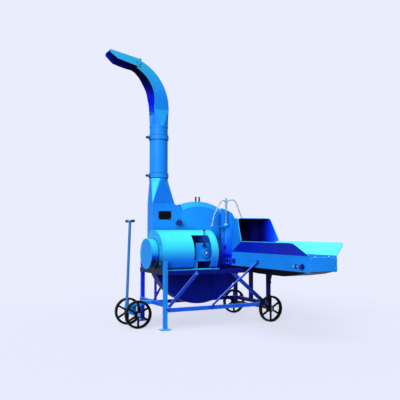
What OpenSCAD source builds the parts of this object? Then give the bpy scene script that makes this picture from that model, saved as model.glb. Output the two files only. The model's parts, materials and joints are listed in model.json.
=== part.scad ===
// Trailed forage chopper: knife-disc casing, discharge chute, feed head and feed table.
// Millimetres. +Z is up, -X is the towing direction, -Y is the loading end of the table.
// The origin is on the floor, under the middle of the whole machine.

/* [Rotor casing] */
// Sideways place of the rotor shaft
shaft_x = 125; // [115:1:130]
// Height of the rotor shaft above the floor
shaft_z = 800; // [795:1:803]
// Outer radius of the casing
casing_r = 602; // [600:1:604]
// Front plane of the casing
casing_y = 670; // [668:1:672]
// Depth of the casing
casing_d = 150; // [146:1:156]
// Width of the bevelled band round the cover
bevel_w = 60; // [40:1:70]
// Sheet thickness of the casing
sheet = 5; // [4:0.5:6]
// Radius of the knife tips
knife_r = 530; // [500:1:532]
// Radius of the paddle tips
paddle_r = 580; // [560:1:584]
// Number of knives
knife_n = 3; // [2:1:4]
// Number of throwing paddles
paddle_n = 6; // [3:1:8]

/* [Discharge chute] */
// Outer radius of the round pipe
pipe_r = 106; // [100:1:108]
// Sideways place of the pipe
pipe_x = -371; // [-373:1:-368]
// Height where the square base turns into the round neck
chute_z = 1365; // [1360:1:1400]
// Height of the pipe's lower joint
pipe_z0 = 1690; // [1680:1:1750]
// Height of the swivel joint
pipe_z1 = 2136; // [2000:1:2180]
// Outer radius of the spout's bend
spout_r = 567; // [562:1:572]
// Angle of the spout's bend
spout_a = 69; // [66:0.5:71]
// Depth of the open channel at its foot
channel_d = 181; // [176:1:188]
// Length of the outlet flap
flap_len = 366; // [300:1:370]

/* [Drive] */
// Radius of the barrel-shaped motor guard
guard_r = 262; // [258:1:264]
// Left end of the motor guard
guard_x0 = -530; // [-535:1:-525]
// Right end of the motor guard
guard_x1 = 150; // [145:1:160]
// Radius of the fan cowl
cowl_r = 164; // [158:1:166]
// Length of the fan cowl
cowl_len = 90; // [70:1:110]
// Length of the gear lever above its pivot
lever_len = 178; // [150:1:185]

/* [Feed head] */
// Outer face of the near cheek and of the table's near panel
feed_x0 = 420; // [418:1:424]
// Width over the table's side panels
feed_w = 335; // [330:1:340]
// Width of the feed rollers
roller_w = 254; // [240:1:256]
// Place of the rollers along the table
roller_y = 470; // [466:1:474]
// Radius of the lower roller
low_r = 60; // [55:1:62]
// Radius of the upper roller
up_r = 95; // [85:1:96]
// How far the upper roller can rise
float_travel = 60; // [30:1:60]
// Height of the hood's roof
roof_z = 1187; // [1160:1:1200]

/* [Feed table] */
// Loading end of the table
table_y = -1025; // [-1035:1:-1000]
// Bottom edge of the side panels
panel_z0 = 652; // [650:1:654]
// Top edge of the side panels
panel_z1 = 808; // [804:1:812]
// Slope length of the flared walls
flare_len = 153; // [140:1:160]
// Outward lean of the flared walls, in degrees
flare_a = 36; // [30:1:38]
// Radius of the chain loop at the shafts
loop_r = 44; // [42:0.5:46]
// Number of slats on the carrying side
slat_n = 12; // [8:1:16]

/* [Frame and wheels] */
// Width of the square tube
tube = 40; // [38:1:42]
// Wall of the square tube
tube_t = 4; // [2:0.5:5]
// Front plane of the frame
frame_y0 = 235; // [234:1:236]
// Back plane of the frame
frame_y1 = 975; // [970:1:990]
// Right posts and rear axle line
post_x = 810; // [806:1:812]
// Top face of the upper rails
rail_z = 623; // [620:1:624]
// Wheel diameter
wheel_d = 300; // [280:1:300]
// Wheel width
wheel_w = 45; // [40:1:46]
// Number of wheel spokes
spoke_n = 6; // [5:1:7]
// Place of the steering pivot along the towing direction
king_x = -730; // [-735:1:-725]
// Place of the steering pivot across the machine
king_y = 611; // [605:1:615]
// Distance between the two steered wheels
steer_track = 316; // [310:1:324]
// Length of the drawbar from its pin to the handle
draw_len = 948; // [800:1:980]
// Backward lean of the parked drawbar, in degrees
draw_lean = 2; // [1.5:0.1:3]

/* [Hidden] */
$fn = 96;

fit = 0.05;            // running clearance of shafts and pins, on the radius
gap = 0.3;             // clearance between parts that slide past each other
blue = "dodgerblue";
casing_y1 = casing_y + casing_d;
face_r = casing_r - bevel_w;
chute_x0 = shaft_x - casing_r;
cover_x0 = -102;       // joint between the cover and the chute
knob_x = cover_x0 - 44;
knob_z = 1150;
hinge = [shaft_x + casing_r + 41, shaft_z];
pipe_y = casing_y + casing_d / 2;
shaft_r = 30;
disc_r = knife_r - 60;  // radius of the disc that carries the knives
disc_y = casing_y + 30;
motor_y = casing_y - 158;
feed_x1 = feed_x0 + feed_w;
cheek_t = 8;
far_cheek_x = feed_x0 + cheek_t + roller_w + 12;
joint_y = 410;         // where the table's panels meet the cheeks
bed_z = 760;           // feed level: top of the lower roller and of the throat's sill
low_z = bed_z - low_r;
up_z = bed_z + 4 + up_r;
shaft_f = 20;          // radius of the feed roller shafts
rod_x = feed_x0 - 40;
cap_z = 1115;
eye_z = 1395;
head_y = 350;
tail_y = -925;
loop_z = 704;
hood_slope = 0.25;     // sideways spread of the hood per millimetre forward
hood_a = atan(hood_slope);
mouth_y0 = 60;
mouth_y1 = 190;
leg_l = [[-510, frame_y0], [-470, frame_y1]];
cross_x = -490;
cross_z = 255;
low_rail_z = 205;      // middle of the lower rails
axle_z = wheel_d / 2;
bogie_z = 235;
turn_r = 52;           // radius of the two turntable plates
draw_pin = [king_x - 74, 212];
channel_x1 = -281;     // outer face of the spout's channel at its foot
channel_z = 2466;      // where the channel's side plates start
mouth_z = 2395;        // where the open side of the spout starts
lip = 5;               // width of the flanges of the pipe joints
band_h = 25;           // half the height of the clamp bands
seam_z = 2262;         // seam under the spout's square mouth
arc = [channel_x1 - spout_r, 2473];
flap_tilt = 10.3;      // upward tilt of the outlet flap

// Basic shapes placed by their own coordinates
module box(x0, x1, y0, y1, z0, z1) translate([x0, y0, z0]) cube([x1 - x0, y1 - y0, z1 - z0]);
module cx(x0, x1, y, z, r) translate([x0, y, z]) rotate([0, 90, 0]) cylinder(h = x1 - x0, r = r);
module cy(y0, y1, x, z, r) translate([x, y0, z]) rotate([-90, 0, 0]) cylinder(h = y1 - y0, r = r);
module cz(z0, z1, x, y, r) translate([x, y, z0]) cylinder(h = z1 - z0, r = r);
// Outline drawn in X and Z, running from y0 to y1
module xz(y0, y1) translate([0, y1, 0]) rotate([90, 0, 0]) linear_extrude(height = y1 - y0) children();
// Outline drawn in Y and Z, running from x0 to x1
module yz(x0, x1) translate([x0, 0, 0]) rotate([90, 0, 90]) linear_extrude(height = x1 - x0) children();
// Section drawn as radius and Y, swept round the rotor shaft from angle a0 to a1, downwards first
module yrev(a0, a1) translate([shaft_x, 0, shaft_z]) rotate([-90, 0, 0]) rotate([0, 0, a0])
  rotate_extrude(angle = a1 - a0) children();
module tube_x(x0, x1, y, z, h = tube) difference() {
  box(x0, x1, y - tube / 2, y + tube / 2, z - h / 2, z + h / 2);
  box(x0 - 1, x1 + 1, y - tube / 2 + tube_t, y + tube / 2 - tube_t, z - h / 2 + tube_t, z + h / 2 - tube_t);
}
module tube_y(y0, y1, x, z, h = tube) difference() {
  box(x - tube / 2, x + tube / 2, y0, y1, z - h / 2, z + h / 2);
  box(x - tube / 2 + tube_t, x + tube / 2 - tube_t, y0 - 1, y1 + 1, z - h / 2 + tube_t, z + h / 2 - tube_t);
}
module tube_z(z0, z1, x, y) difference() {
  box(x - tube / 2, x + tube / 2, y - tube / 2, y + tube / 2, z0, z1);
  box(x - tube / 2 + tube_t, x + tube / 2 - tube_t, y - tube / 2 + tube_t, y + tube / 2 - tube_t,
    z0 - 1, z1 + 1);
}
// Round bar between two points
module rod(p, q, r) {
  v = q - p;
  translate(p) rotate([0, acos(v[2] / norm(v)), atan2(v[1], v[0])]) cylinder(h = norm(v), r = r);
}
module hex_y(y0, y1, x, z, af) translate([x, y0, z]) rotate([-90, 0, 0])
  cylinder(h = y1 - y0, d = af / cos(30), $fn = 6);

// Frame
module frame_legs() color(blue) for (p = leg_l) {
  tube_z(8, 729, p[0], p[1]);
  box(p[0] - 53, p[0] + 53, p[1] - 45, p[1] + 45, 0, 8);
}
module frame_rails() color(blue) {
  for (z = [low_rail_z, rail_z - 24]) for (p = leg_l)
    tube_x(p[0] + tube / 2, post_x - tube / 2, p[1], z, z == low_rail_z ? tube : 48);
  tube_y(frame_y0 + tube / 2, frame_y1 - tube / 2, cross_x, rail_z - 24, 48);
  tube_y(frame_y0 + tube / 2, frame_y1 - tube / 2, cross_x, cross_z);
  tube_y(frame_y0 + tube / 2, frame_y1 - tube / 2, post_x, low_rail_z);
  for (x = [feed_x0 + 4, feed_x1 - 30]) box(x, x + 26, frame_y0 - 15, frame_y0 + 15, rail_z, panel_z0);
}
module right_posts() color(blue) {
  difference() {
    for (y = [frame_y0, frame_y1]) tube_z(115, 640, post_x, y);
    cy(frame_y0 - 60, frame_y1 + 60, post_x, axle_z, 15);
  }
  tube_z(225, 575, post_x, 610);
  tube_y(frame_y0 + tube / 2, frame_y1 - tube / 2, post_x, 595);
}
// Flat bar leaning in the front plane, from one point of X and Z to another
module lean_bar(a, b, y0, y1, w) xz(y0, y1) {
  v = b - a;
  n = [-v[1], v[0]] / norm(v) * w / 2;
  polygon([a + n, b + n, b - n, a - n]);
}
module frame_braces() color(blue) {
  lean_bar([-504, 217], [-130, 602], frame_y0 - 29, frame_y0 - 20, 34);
  difference() {
    lean_bar([310, 590], [760, 212], frame_y0 - 14, frame_y0 + 14, 38);
    box(0, 900, 0, 900, rail_z - 48, rail_z);
    box(0, 900, 0, 900, low_rail_z - tube / 2, low_rail_z + tube / 2);
    box(post_x - tube / 2, 900, 0, 900, 0, 900);
  }
  box(-318, -293, frame_y1 - 12, frame_y1 + 12, low_rail_z + tube / 2, rail_z - 48);
  lean_bar([-326, low_rail_z], [-98, 598], frame_y1 + 20, frame_y1 + 28, 26);
  rod([feed_x1 + 10, 40, 690], [post_x, frame_y0 - 30, 455], 8);
  box(feed_x1, feed_x1 + 20, 24, 56, 672, 708);
  box(post_x - 16, post_x + 16, frame_y0 - 38, frame_y0 - 20, 438, 472);
  rod([feed_x0 - 7, -142, 715], [35, frame_y0 - 27, 222], 7);
  box(feed_x0 - 13, feed_x0, -164, -120, 698, 732);
  box(14, 56, frame_y0 - 34, frame_y0 - 20, 190, 228);
}
module casing_arms() color(blue) {
  for (x = [-400, 440, 650]) tube_y(frame_y0 + tube / 2, casing_y, x, rail_z - 20);
  for (x = [-400, 640]) tube_y(casing_y1, frame_y1 - tube / 2, x, rail_z - 20);
  box(feed_x0, 458, 540, 600, rail_z, panel_z0);
  box(632, far_cheek_x + cheek_t, 540, 600, rail_z, panel_z0);
}

// Wheels, steering and drawbar
module wheel_at(x, y, bore_r) color("black") translate([x, y, axle_z]) rotate([90, 0, 0]) difference() {
  union() {
    rotate_extrude() polygon([[wheel_d / 2 - 20, -wheel_w / 2], [wheel_d / 2 - 3, -wheel_w / 2],
      [wheel_d / 2, -wheel_w / 2 + 3], [wheel_d / 2, wheel_w / 2 - 3], [wheel_d / 2 - 3, wheel_w / 2],
      [wheel_d / 2 - 20, wheel_w / 2]]);
    translate([0, 0, -8]) linear_extrude(height = 16) difference() {
      circle(r = wheel_d / 2 - 10);
      for (i = [0:spoke_n - 1]) rotate(i * 360 / spoke_n) intersection() {
        difference() { circle(r = wheel_d / 2 - 25); circle(r = 40); }
        translate([20, 0]) polygon([[0, 0], [200, 200 * tan(180 / spoke_n)],
          [200, -200 * tan(180 / spoke_n)]]);
      }
    }
    translate([0, 0, -wheel_w / 2]) cylinder(h = wheel_w, r = 32);
  }
  translate([0, 0, -50]) cylinder(h = 100, r = bore_r + fit);
}
rear_y = [frame_y0 - tube / 2 - wheel_w / 2 - 2, frame_y1 + tube / 2 + wheel_w / 2 + 2];
module rear_axle() color("dimgray") {
  cy(rear_y[0] - wheel_w / 2 - 8, rear_y[1] + wheel_w / 2 + 8, post_x, axle_z, 15);
  cy(rear_y[0] - wheel_w / 2 - 6, rear_y[0] - wheel_w / 2 - gap, post_x, axle_z, 24);
  cy(rear_y[1] + wheel_w / 2 + gap, rear_y[1] + wheel_w / 2 + 6, post_x, axle_z, 24);
}
module wheel_rear_near() wheel_at(post_x, rear_y[0], 15);
module wheel_rear_far() wheel_at(post_x, rear_y[1], 15);
module wheel_front_near() wheel_at(king_x, king_y - steer_track / 2, 12);
module wheel_front_far() wheel_at(king_x, king_y + steer_track / 2, 12);
module steer_bracket() color(blue) difference() {
  union() {
    cz(bogie_z, bogie_z + 12, king_x, king_y, turn_r);
    box(king_x + 40, cross_x - tube / 2, king_y - 20, king_y + 20, bogie_z, bogie_z + 40);
  }
  cz(bogie_z - 1, bogie_z + 60, king_x, king_y, 12);
}
module kingpin() color("dimgray") {
  cz(bogie_z - 20, bogie_z + 12, king_x, king_y, 12);
  translate([king_x, king_y, bogie_z + 12]) cylinder(h = 14, d = 36 / cos(30), $fn = 6);
}
module steering_bogie() color(blue) difference() {
  h = steer_track / 2 - wheel_w / 2;
  union() {
    cz(bogie_z - 12, bogie_z, king_x, king_y, turn_r);
    box(king_x - 30, king_x + 30, king_y - 30, king_y + 30, axle_z, bogie_z - 12);
    box(king_x - 20, king_x + 20, king_y - h + 2, king_y + h - 2, axle_z - 20, axle_z + 20);
    cy(king_y - h - wheel_w - 8, king_y + h + wheel_w + 8, king_x, axle_z, 12);
    for (s = [-1, 1]) cy(king_y + s * (h + wheel_w + 3.15) - 2.85, king_y + s * (h + wheel_w + 3.15) + 2.85,
      king_x, axle_z, 20);
    for (s = [-1, 1]) box(draw_pin[0], king_x - 20, king_y + s * 26 - 5, king_y + s * 26 + 5,
      draw_pin[1] - 18, bogie_z - 12);
    for (s = [-1, 1]) cy(king_y + s * 26 - 5, king_y + s * 26 + 5, draw_pin[0], draw_pin[1], 18);
    box(draw_pin[0] + 14, king_x - 40, king_y - 15, king_y + 15, bogie_z - 9, bogie_z);
  }
  cz(bogie_z - 21, bogie_z + 1, king_x, king_y, 12 + fit);
  cy(king_y - 60, king_y + 60, draw_pin[0], draw_pin[1], 8);
}
module on_drawbar() translate([draw_pin[0], king_y, draw_pin[1]]) rotate([0, draw_lean, 0]) children();
module drawbar() color(blue) on_drawbar() difference() {
  union() {
    cy(-20, 20, 0, 0, 19);
    box(-13, 13, -20, 20, 0, 70);
    cz(60, draw_len, 0, 0, 15);
    cy(-110, 110, 0, draw_len, 12);
  }
  cy(-30, 30, 0, 0, 8 + fit);
}
module drawbar_pin() color("dimgray") {
  cy(king_y - 31, king_y + 31, draw_pin[0], draw_pin[1], 8);
  for (s = [-1, 1]) cy(king_y + s * 35 - 4, king_y + s * 35 + 4, draw_pin[0], draw_pin[1], 13);
}
module drawbar_grips() color("black") on_drawbar() for (s = [-1, 1]) difference() {
  cy(s * 88 - 28, s * 88 + 28, 0, draw_len, 16);
  cy(s * 82 - 28, s * 82 + 28, 0, draw_len, 12);
}

// Casing, cover and chute
bevel_d = bevel_w * 0.7;
module casing_square() polygon([[60, casing_y], [casing_r, casing_y], [casing_r, casing_y1], [60, casing_y1],
  [60, casing_y1 - sheet], [casing_r - sheet, casing_y1 - sheet], [casing_r - sheet, casing_y + sheet],
  [60, casing_y + sheet]]);
module casing_bevelled() polygon([[60, casing_y], [face_r, casing_y], [casing_r, casing_y + bevel_d],
  [casing_r, casing_y1], [60, casing_y1], [60, casing_y1 - sheet], [casing_r - sheet, casing_y1 - sheet],
  [casing_r - sheet, casing_y + bevel_d + sheet], [face_r - sheet * 0.6, casing_y + sheet],
  [60, casing_y + sheet]]);
module throat_cut() box(feed_x0 + cheek_t, far_cheek_x, casing_y - 1, casing_y + sheet + 1, 740, 880);
module lower_casing() color(blue) difference() {
  union() {
    yrev(0, 180) casing_square();
    box(284, 296, casing_y - 12, casing_y, 262, 568);
    translate([shaft_x, 0, shaft_z - 5]) linear_extrude(height = 5) polygon([[face_r - 3, casing_y + 2],
      [casing_r - 2, casing_y + 2], [casing_r - 2, casing_y + bevel_d + sheet],
      [casing_r - sheet, casing_y + bevel_d + sheet]]);
    for (y = [casing_y + 30, casing_y + 95]) {
      box(shaft_x + casing_r - 4, hinge[0], y, y + 25, hinge[1] - 11, hinge[1] - 3);
      cy(y, y + 25, hinge[0], hinge[1], 11);
    }
  }
  throat_cut();
  cy(casing_y, casing_y1, hinge[0], hinge[1], 5);
}
module upper_cover() color(blue) difference() {
  union() {
    difference() {
      yrev(180, 360) casing_bevelled();
      box(chute_x0 - 50, cover_x0, casing_y - 50, casing_y1 + 50, 0, 2000);
      throat_cut();
    }
    box(shaft_x + casing_r - 4, hinge[0], casing_y + 57, casing_y + 93, hinge[1] + 3, hinge[1] + 11);
    cy(casing_y + 57, casing_y + 93, hinge[0], hinge[1], 11);
    box(cover_x0 - 80, cover_x0 + 30, casing_y - 6 - gap, casing_y - gap, knob_z - 24, knob_z + 24);
    box(cover_x0 + 4, cover_x0 + 30, casing_y - 6, casing_y, knob_z - 24, knob_z + 24);
    for (x = [shaft_x - 9, shaft_x + 38]) cz(shaft_z + casing_r - 5, shaft_z + casing_r + 58, x, pipe_y, 8);
  }
  box(cover_x0 - 68, cover_x0 - 30, casing_y - 10, casing_y + 1, knob_z - 30, knob_z);
  cy(casing_y - 10, casing_y + 1, knob_x, knob_z, 13.5);
  cy(casing_y, casing_y1, hinge[0], hinge[1], 5 + fit);
}
module cover_hinge_pin() color("dimgray") {
  cy(casing_y + 22, casing_y + 128, hinge[0], hinge[1], 5);
  cy(casing_y + 22, casing_y + 30, hinge[0], hinge[1], 9);
}
module star_knob() color("darkblue") {
  cy(casing_y - 20, casing_y + sheet - 1, knob_x, knob_z, 5);
  cy(casing_y - 20, casing_y - 6 - 2 * gap, knob_x, knob_z, 20);
  for (i = [0:4]) translate([knob_x, 0, knob_z]) rotate([0, i * 72, 0]) {
    cy(casing_y - 36, casing_y - 20, 24, 0, 11);
    box(-8, 24, casing_y - 34, casing_y - 20, -8, 8);
  }
}
module chute_base() color(blue) difference() {
  right = cover_x0 - 1;
  union() {
    for (y = [casing_y, casing_y1 - sheet]) xz(y, y + sheet) polygon([[chute_x0, shaft_z], [right, shaft_z],
      [right, chute_z - 35], [-199, chute_z], [chute_x0, chute_z]]);
    box(chute_x0, chute_x0 + sheet, casing_y, casing_y1, shaft_z, chute_z);
    xz(casing_y, casing_y1) polygon([[right, chute_z - 35], [right, chute_z - 41], [-201, chute_z - 5],
      [-201, chute_z], [-199, chute_z]]);
  }
  cy(casing_y - 1, casing_y + sheet + 1, knob_x, knob_z, 5 + fit);
}
// Square foot and round neck; t makes it slimmer for the inside, up lifts the neck's straight end
module square_to_round(x0, x1, y0, y1, z0, z1, r, t, up) hull() {
  box(x0 + t, x1 - t, y0 + t, y1 - t, z0, z0 + 1);
  cz(z1 - 1, z1 + up, pipe_x, pipe_y, r - t, $fn = 48);
}
module flange(z0, z1) difference() {
  cz(z0, z1, pipe_x, pipe_y, pipe_r + lip);
  cz(z0 - 1, z1 + 1, pipe_x, pipe_y, pipe_r - 3);
}
module pipe(z0, z1) difference() {
  cz(z0, z1, pipe_x, pipe_y, pipe_r);
  cz(z0 - 1, z1 + 1, pipe_x, pipe_y, pipe_r - 3);
}
neck_z = 1640;         // top of the square-to-round piece
module chute_transition() color(blue) difference() {
  union() {
    square_to_round(chute_x0, -199, casing_y, casing_y1, chute_z, neck_z, pipe_r, 0, 0);
    cz(neck_z - 12, neck_z + 6, pipe_x, pipe_y, pipe_r + 3);
    cz(neck_z, pipe_z0, pipe_x, pipe_y, pipe_r);
    cz(pipe_z0 - 6, pipe_z0, pipe_x, pipe_y, pipe_r + lip);
  }
  square_to_round(chute_x0, -199, casing_y, casing_y1, chute_z - 1, neck_z, pipe_r, 3, 3);
  cz(neck_z + 1, pipe_z0 + 1, pipe_x, pipe_y, pipe_r - 2);
}
module lower_pipe() color(blue) {
  pipe(pipe_z0, pipe_z1);
  flange(pipe_z0, pipe_z0 + 6);
  flange(pipe_z1 - 6, pipe_z1);
}
// Band round two flanges, with room above them for the part that swivels
module clamp_band(z, above) color(blue) {
  translate([pipe_x, pipe_y, z]) rotate_extrude() polygon([[pipe_r + 2, -band_h], [pipe_r + lip + 5, -band_h],
    [pipe_r + lip + 5, band_h], [pipe_r + 2, band_h], [pipe_r + 2, 6 + above], [pipe_r + lip + 1, 6 + above],
    [pipe_r + lip + 1, -6], [pipe_r + 2, -6]]);
  for (s = [-1, 1]) box(pipe_x - pipe_r - 48, pipe_x - pipe_r - lip - 3, pipe_y + s * 12 - 4,
    pipe_y + s * 12 + 4, z - 12, z + 12);
  cy(pipe_y - 34, pipe_y + 28, pipe_x - pipe_r - 36, z, 5);
  hex_y(pipe_y - 42, pipe_y - 34, pipe_x - pipe_r - 36, z, 19);
}
module lower_clamp() clamp_band(pipe_z0, 0);
module swivel_clamp() clamp_band(pipe_z1, 0.5);

// Spout: swivelling collar, square mouth and curved open channel
spout_y = [pipe_y - 80, pipe_y + 80];
channel_x0 = channel_x1 - channel_d;
flap_at = [arc[0] + (spout_r + 13) * cos(spout_a - 0.5), arc[1] + (spout_r + 13) * sin(spout_a - 0.5)];
module bend_sector(r) intersection() {
  translate(arc) circle(r = r, $fn = 192);
  translate(arc) polygon([[0, 0], [900, 0], [900, 900], [900 * cos(spout_a), 900 * sin(spout_a)]]);
}
module channel_side() difference() {
  union() {
    bend_sector(spout_r);
    translate([channel_x0, channel_z]) square([channel_d, arc[1] - channel_z]);
  }
  translate([arc[0], arc[1] + 80]) circle(r = norm([channel_x0 - arc[0], 80]), $fn = 192);
}
module channel_back() {
  difference() {
    bend_sector(spout_r);
    translate(arc) circle(r = spout_r - 4, $fn = 192);
  }
  translate([channel_x1 - 4, channel_z]) square([4, arc[1] - channel_z]);
}
module spout() color(blue) difference() {
  union() {
    cz(pipe_z1, pipe_z1 + 6, pipe_x, pipe_y, pipe_r + lip);
    cz(pipe_z1, seam_z + 1, pipe_x, pipe_y, pipe_r);
    cz(seam_z - 8, seam_z + 8, pipe_x, pipe_y, pipe_r + 3);
    hull() {
      cz(seam_z, seam_z + 1, pipe_x, pipe_y, pipe_r, $fn = 48);
      box(channel_x0, channel_x1, spout_y[0], spout_y[1], channel_z - 1, channel_z);
    }
    box(channel_x0 - 2, channel_x1 + 2, spout_y[0] - 2, spout_y[1] + 2, channel_z - 6, channel_z + 6);
    xz(spout_y[0], spout_y[0] + 4) channel_side();
    xz(spout_y[1] - 4, spout_y[1]) channel_side();
    xz(spout_y[0], spout_y[1]) channel_back();
    for (y = [pipe_y - 72, pipe_y + 34]) cy(y, y + 38, flap_at[0], flap_at[1], 16);
  }
  cz(pipe_z1 - 1, seam_z - 1, pipe_x, pipe_y, pipe_r - 2);
  hull() {
    cz(seam_z - 4, seam_z + 1, pipe_x, pipe_y, pipe_r - 3, $fn = 48);
    box(channel_x0 + 4.5, channel_x1 - 4.5, spout_y[0] + 4.5, spout_y[1] - 4.5, channel_z - 1, channel_z + 8);
  }
  box(channel_x0 - 20, channel_x0 + 40, spout_y[0] + 4.5, spout_y[1] - 4.5, mouth_z, channel_z + 7);
  cy(pipe_y - 120, pipe_y + 120, flap_at[0], flap_at[1], 5);
}
module spout_flap() color(blue) translate([flap_at[0], 0, flap_at[1]]) rotate([0, flap_tilt, 0])
  difference() {
  union() {
    box(-flap_len, -20, spout_y[0] - 8, spout_y[1] + 8, -4, 0);
    for (y = [spout_y[0] - 8, spout_y[1] + 4]) xz(y, y + 4) polygon([[-5, -2], [-flap_len, -2],
      [-flap_len, -30], [100 - flap_len, -76], [-137, -83], [8, -92], [8, -30]]);
    cy(pipe_y - 33, pipe_y + 33, 0, 0, 11);
    box(-24, 0, pipe_y - 33, pipe_y + 33, -4, 4);
  }
  cy(pipe_y - 120, pipe_y + 120, 0, 0, 5 + fit);
}
module flap_pin() color("dimgray") cy(pipe_y - 77, pipe_y + 77, flap_at[0], flap_at[1], 5);
module blank_plate() color("black") box(-403, -243, casing_y - 2, casing_y, 1182, 1280);

// Rotor
module at_rotor(i, n) translate([shaft_x, 0, shaft_z]) rotate([0, i * 360 / n, 0]) children();
module main_shaft() color("silver") {
  cy(560, casing_y1 + 78, shaft_x, shaft_z, shaft_r);
  cy(casing_y1 + 78, casing_y1 + 90, shaft_x, shaft_z, shaft_r - 8);
}
module knife_disc() color(blue) difference() {
  union() {
    cy(disc_y, disc_y + 14, shaft_x, shaft_z, disc_r);
    cy(disc_y - 10, casing_y1 - 20, shaft_x, shaft_z, 75);
  }
  cy(disc_y - 20, casing_y1, shaft_x, shaft_z, shaft_r);
}
knife_y = [casing_y + 7.2, casing_y + 18];
module knives() color("silver") for (i = [0:knife_n - 1]) at_rotor(i, knife_n) {
  xz(knife_y[0], knife_y[1]) polygon([[190, -46], [knife_r - 8, -46], [knife_r - 4, 40], [190, 40]]);
  box(210, disc_r - 10, knife_y[1], disc_y, -34, 30);
  for (r = [260, 340, 420]) hex_y(disc_y + 14, disc_y + 24, r, 0, 24);
}
module paddles() color(blue) for (i = [0:paddle_n - 1]) at_rotor(i + 0.5, paddle_n) {
  box(330, paddle_r, disc_y + 18, casing_y1 - sheet - 9, -4, 4);
  box(330, paddle_r - 28, disc_y + 14, disc_y + 18, -4, 4);
  box(330, disc_r - 10, disc_y + 14, disc_y + 22, 4, 44);
  box(disc_r + 4, paddle_r - 28, disc_y - 8, disc_y + 14, -4, 4);
}
module rear_bearing() color(blue) difference() {
  union() {
    box(shaft_x - 110, shaft_x + 110, casing_y1, casing_y1 + 14, shaft_z - 110, shaft_z - 3);
    cy(casing_y1 + 4, casing_y1 + 66, shaft_x, shaft_z, 78);
    for (s = [-1, 1]) hex_y(casing_y1 + 14, casing_y1 + 24, shaft_x + s * 90, shaft_z - 60, 24);
  }
  cy(casing_y1 - 1, casing_y1 + 70, shaft_x, shaft_z, shaft_r + fit);
  box(shaft_x - 79, shaft_x + 79, casing_y1 - 1, casing_y1 + 4, shaft_z - 3, shaft_z + 90);
}

// Motor, guard and gearbox
module guard_tray() color(blue) {
  box(-485, guard_x1, frame_y0 - 10, casing_y, rail_z, rail_z + 8);
  box(guard_x0, -485, frame_y0 + 30, casing_y, rail_z, rail_z + 8);
}
module motor_guard() color(blue) difference() {
  union() {
    difference() {
      cx(guard_x0, guard_x1, motor_y, shaft_z, guard_r);
      cx(guard_x0 + 4, guard_x1 + 1, motor_y, shaft_z, guard_r - 4);
      cx(guard_x0 - 1, guard_x0 + 5, motor_y, shaft_z, cowl_r - 6);
    }
    difference() {
      cx(guard_x1 - 12, guard_x1, motor_y, shaft_z, guard_r + 6);
      cx(guard_x1 - 13, guard_x1 + 1, motor_y, shaft_z, guard_r - 4);
    }
  }
  box(guard_x0 - 1, guard_x1 + 1, casing_y - 1, 1200, 0, 2000);
  box(guard_x0 - 1, guard_x1 + 1, 0, 1200, 0, rail_z + 8);
  box(-150, 66, 0, motor_y - 60, 0, 1002);
}
module fan_cowl() color(blue) {
  difference() {
    union() {
      cx(guard_x0 - cowl_len, guard_x0, motor_y, shaft_z, cowl_r);
      cx(guard_x0 - 30, guard_x0 - 12, motor_y, shaft_z, cowl_r + 5);
      cx(guard_x0 - cowl_len, guard_x0 - cowl_len + 12, motor_y, shaft_z, cowl_r + 4);
    }
    cx(guard_x0 - cowl_len + 4, guard_x0 + 1, motor_y, shaft_z, cowl_r - 4);
  }
}
module motor_body() color("slategray") difference() {
  union() {
    cx(-465, -175, motor_y, shaft_z, 145);
    for (i = [0:23]) translate([0, motor_y, shaft_z]) rotate([i * 15, 0, 0]) box(-440, -205, -3, 3, 140, 157);
    cx(-490, -465, motor_y, shaft_z, 110);
    cx(-175, -152, motor_y, shaft_z, 110);
    for (s = [-1, 1]) box(-420, -220, motor_y + s * 105 - 30, motor_y + s * 105 + 30, rail_z + 8,
      shaft_z - 90);
  }
  cx(-500, -140, motor_y, shaft_z, 19 + fit);
  cx(-455, -185, motor_y, shaft_z, 60);
}
module motor_shaft() color("silver") {
  cx(guard_x0 - cowl_len + 25, -62, motor_y, shaft_z, 19);
  cx(-450, -190, motor_y, shaft_z, 55);
  cx(-146, -98, motor_y, shaft_z, 52);
  cx(guard_x0 - 45, guard_x0 - 25, motor_y, shaft_z, 40);
  for (i = [0:6]) translate([0, motor_y, shaft_z]) rotate([i * 360 / 7, 0, 0])
    box(guard_x0 - 50, guard_x0 - 20, -3, 3, 36, 140);
}
gear_y = 345;          // front face of the gearbox
lever_x = 8;
lever_z = 892;
cap_x = 38;            // middle of the gearbox's bearing cap
module gearbox() color(blue) difference() {
  union() {
    box(-88, 190, gear_y, casing_y - 1, 712, 916);
    box(-108, 210, casing_y - 12, casing_y, 700, shaft_z - 3);
    cy(gear_y - 16, gear_y, cap_x, shaft_z + 2, 54);
    cy(gear_y - 26, gear_y - 16, cap_x, shaft_z + 2, 24);
    for (i = [0:5]) translate([cap_x, 0, shaft_z + 2]) rotate([0, i * 60 + 30, 0])
      hex_y(gear_y - 22, gear_y - 15, 40, 0, 11);
    cy(gear_y - 12, gear_y, lever_x, lever_z, 19);
    box(-120, -75, gear_y - 20, gear_y + 20, rail_z + 8, 725);
  }
  cy(540, casing_y + 1, shaft_x, shaft_z, shaft_r + fit);
  cx(-100, -60, motor_y, shaft_z, 19 + fit);
  cy(gear_y - 30, gear_y - 4, lever_x, lever_z, 6);
}
module shift_lever() color("midnightblue") {
  cy(gear_y - 26, gear_y - 5, lever_x, lever_z, 6 - fit);
  cy(gear_y - 26, gear_y - 12 - gap, lever_x, lever_z, 16);
  cz(lever_z + 8, lever_z + lever_len - 20, lever_x, gear_y - 19, 6);
  translate([lever_x, gear_y - 19, lever_z + lever_len - 12]) sphere(r = 14);
}

// Feed head
module slot_yz(z0, z1, r) { translate([roller_y, z0]) circle(r = r); translate([roller_y, z1]) circle(r = r);
  translate([roller_y - r, z0]) square([2 * r, z1 - z0]); }
module cheek_holes() {
  translate([roller_y, low_z]) circle(r = shaft_f + 4);
  slot_yz(up_z, up_z + float_travel, shaft_f + 4);
}
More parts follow.
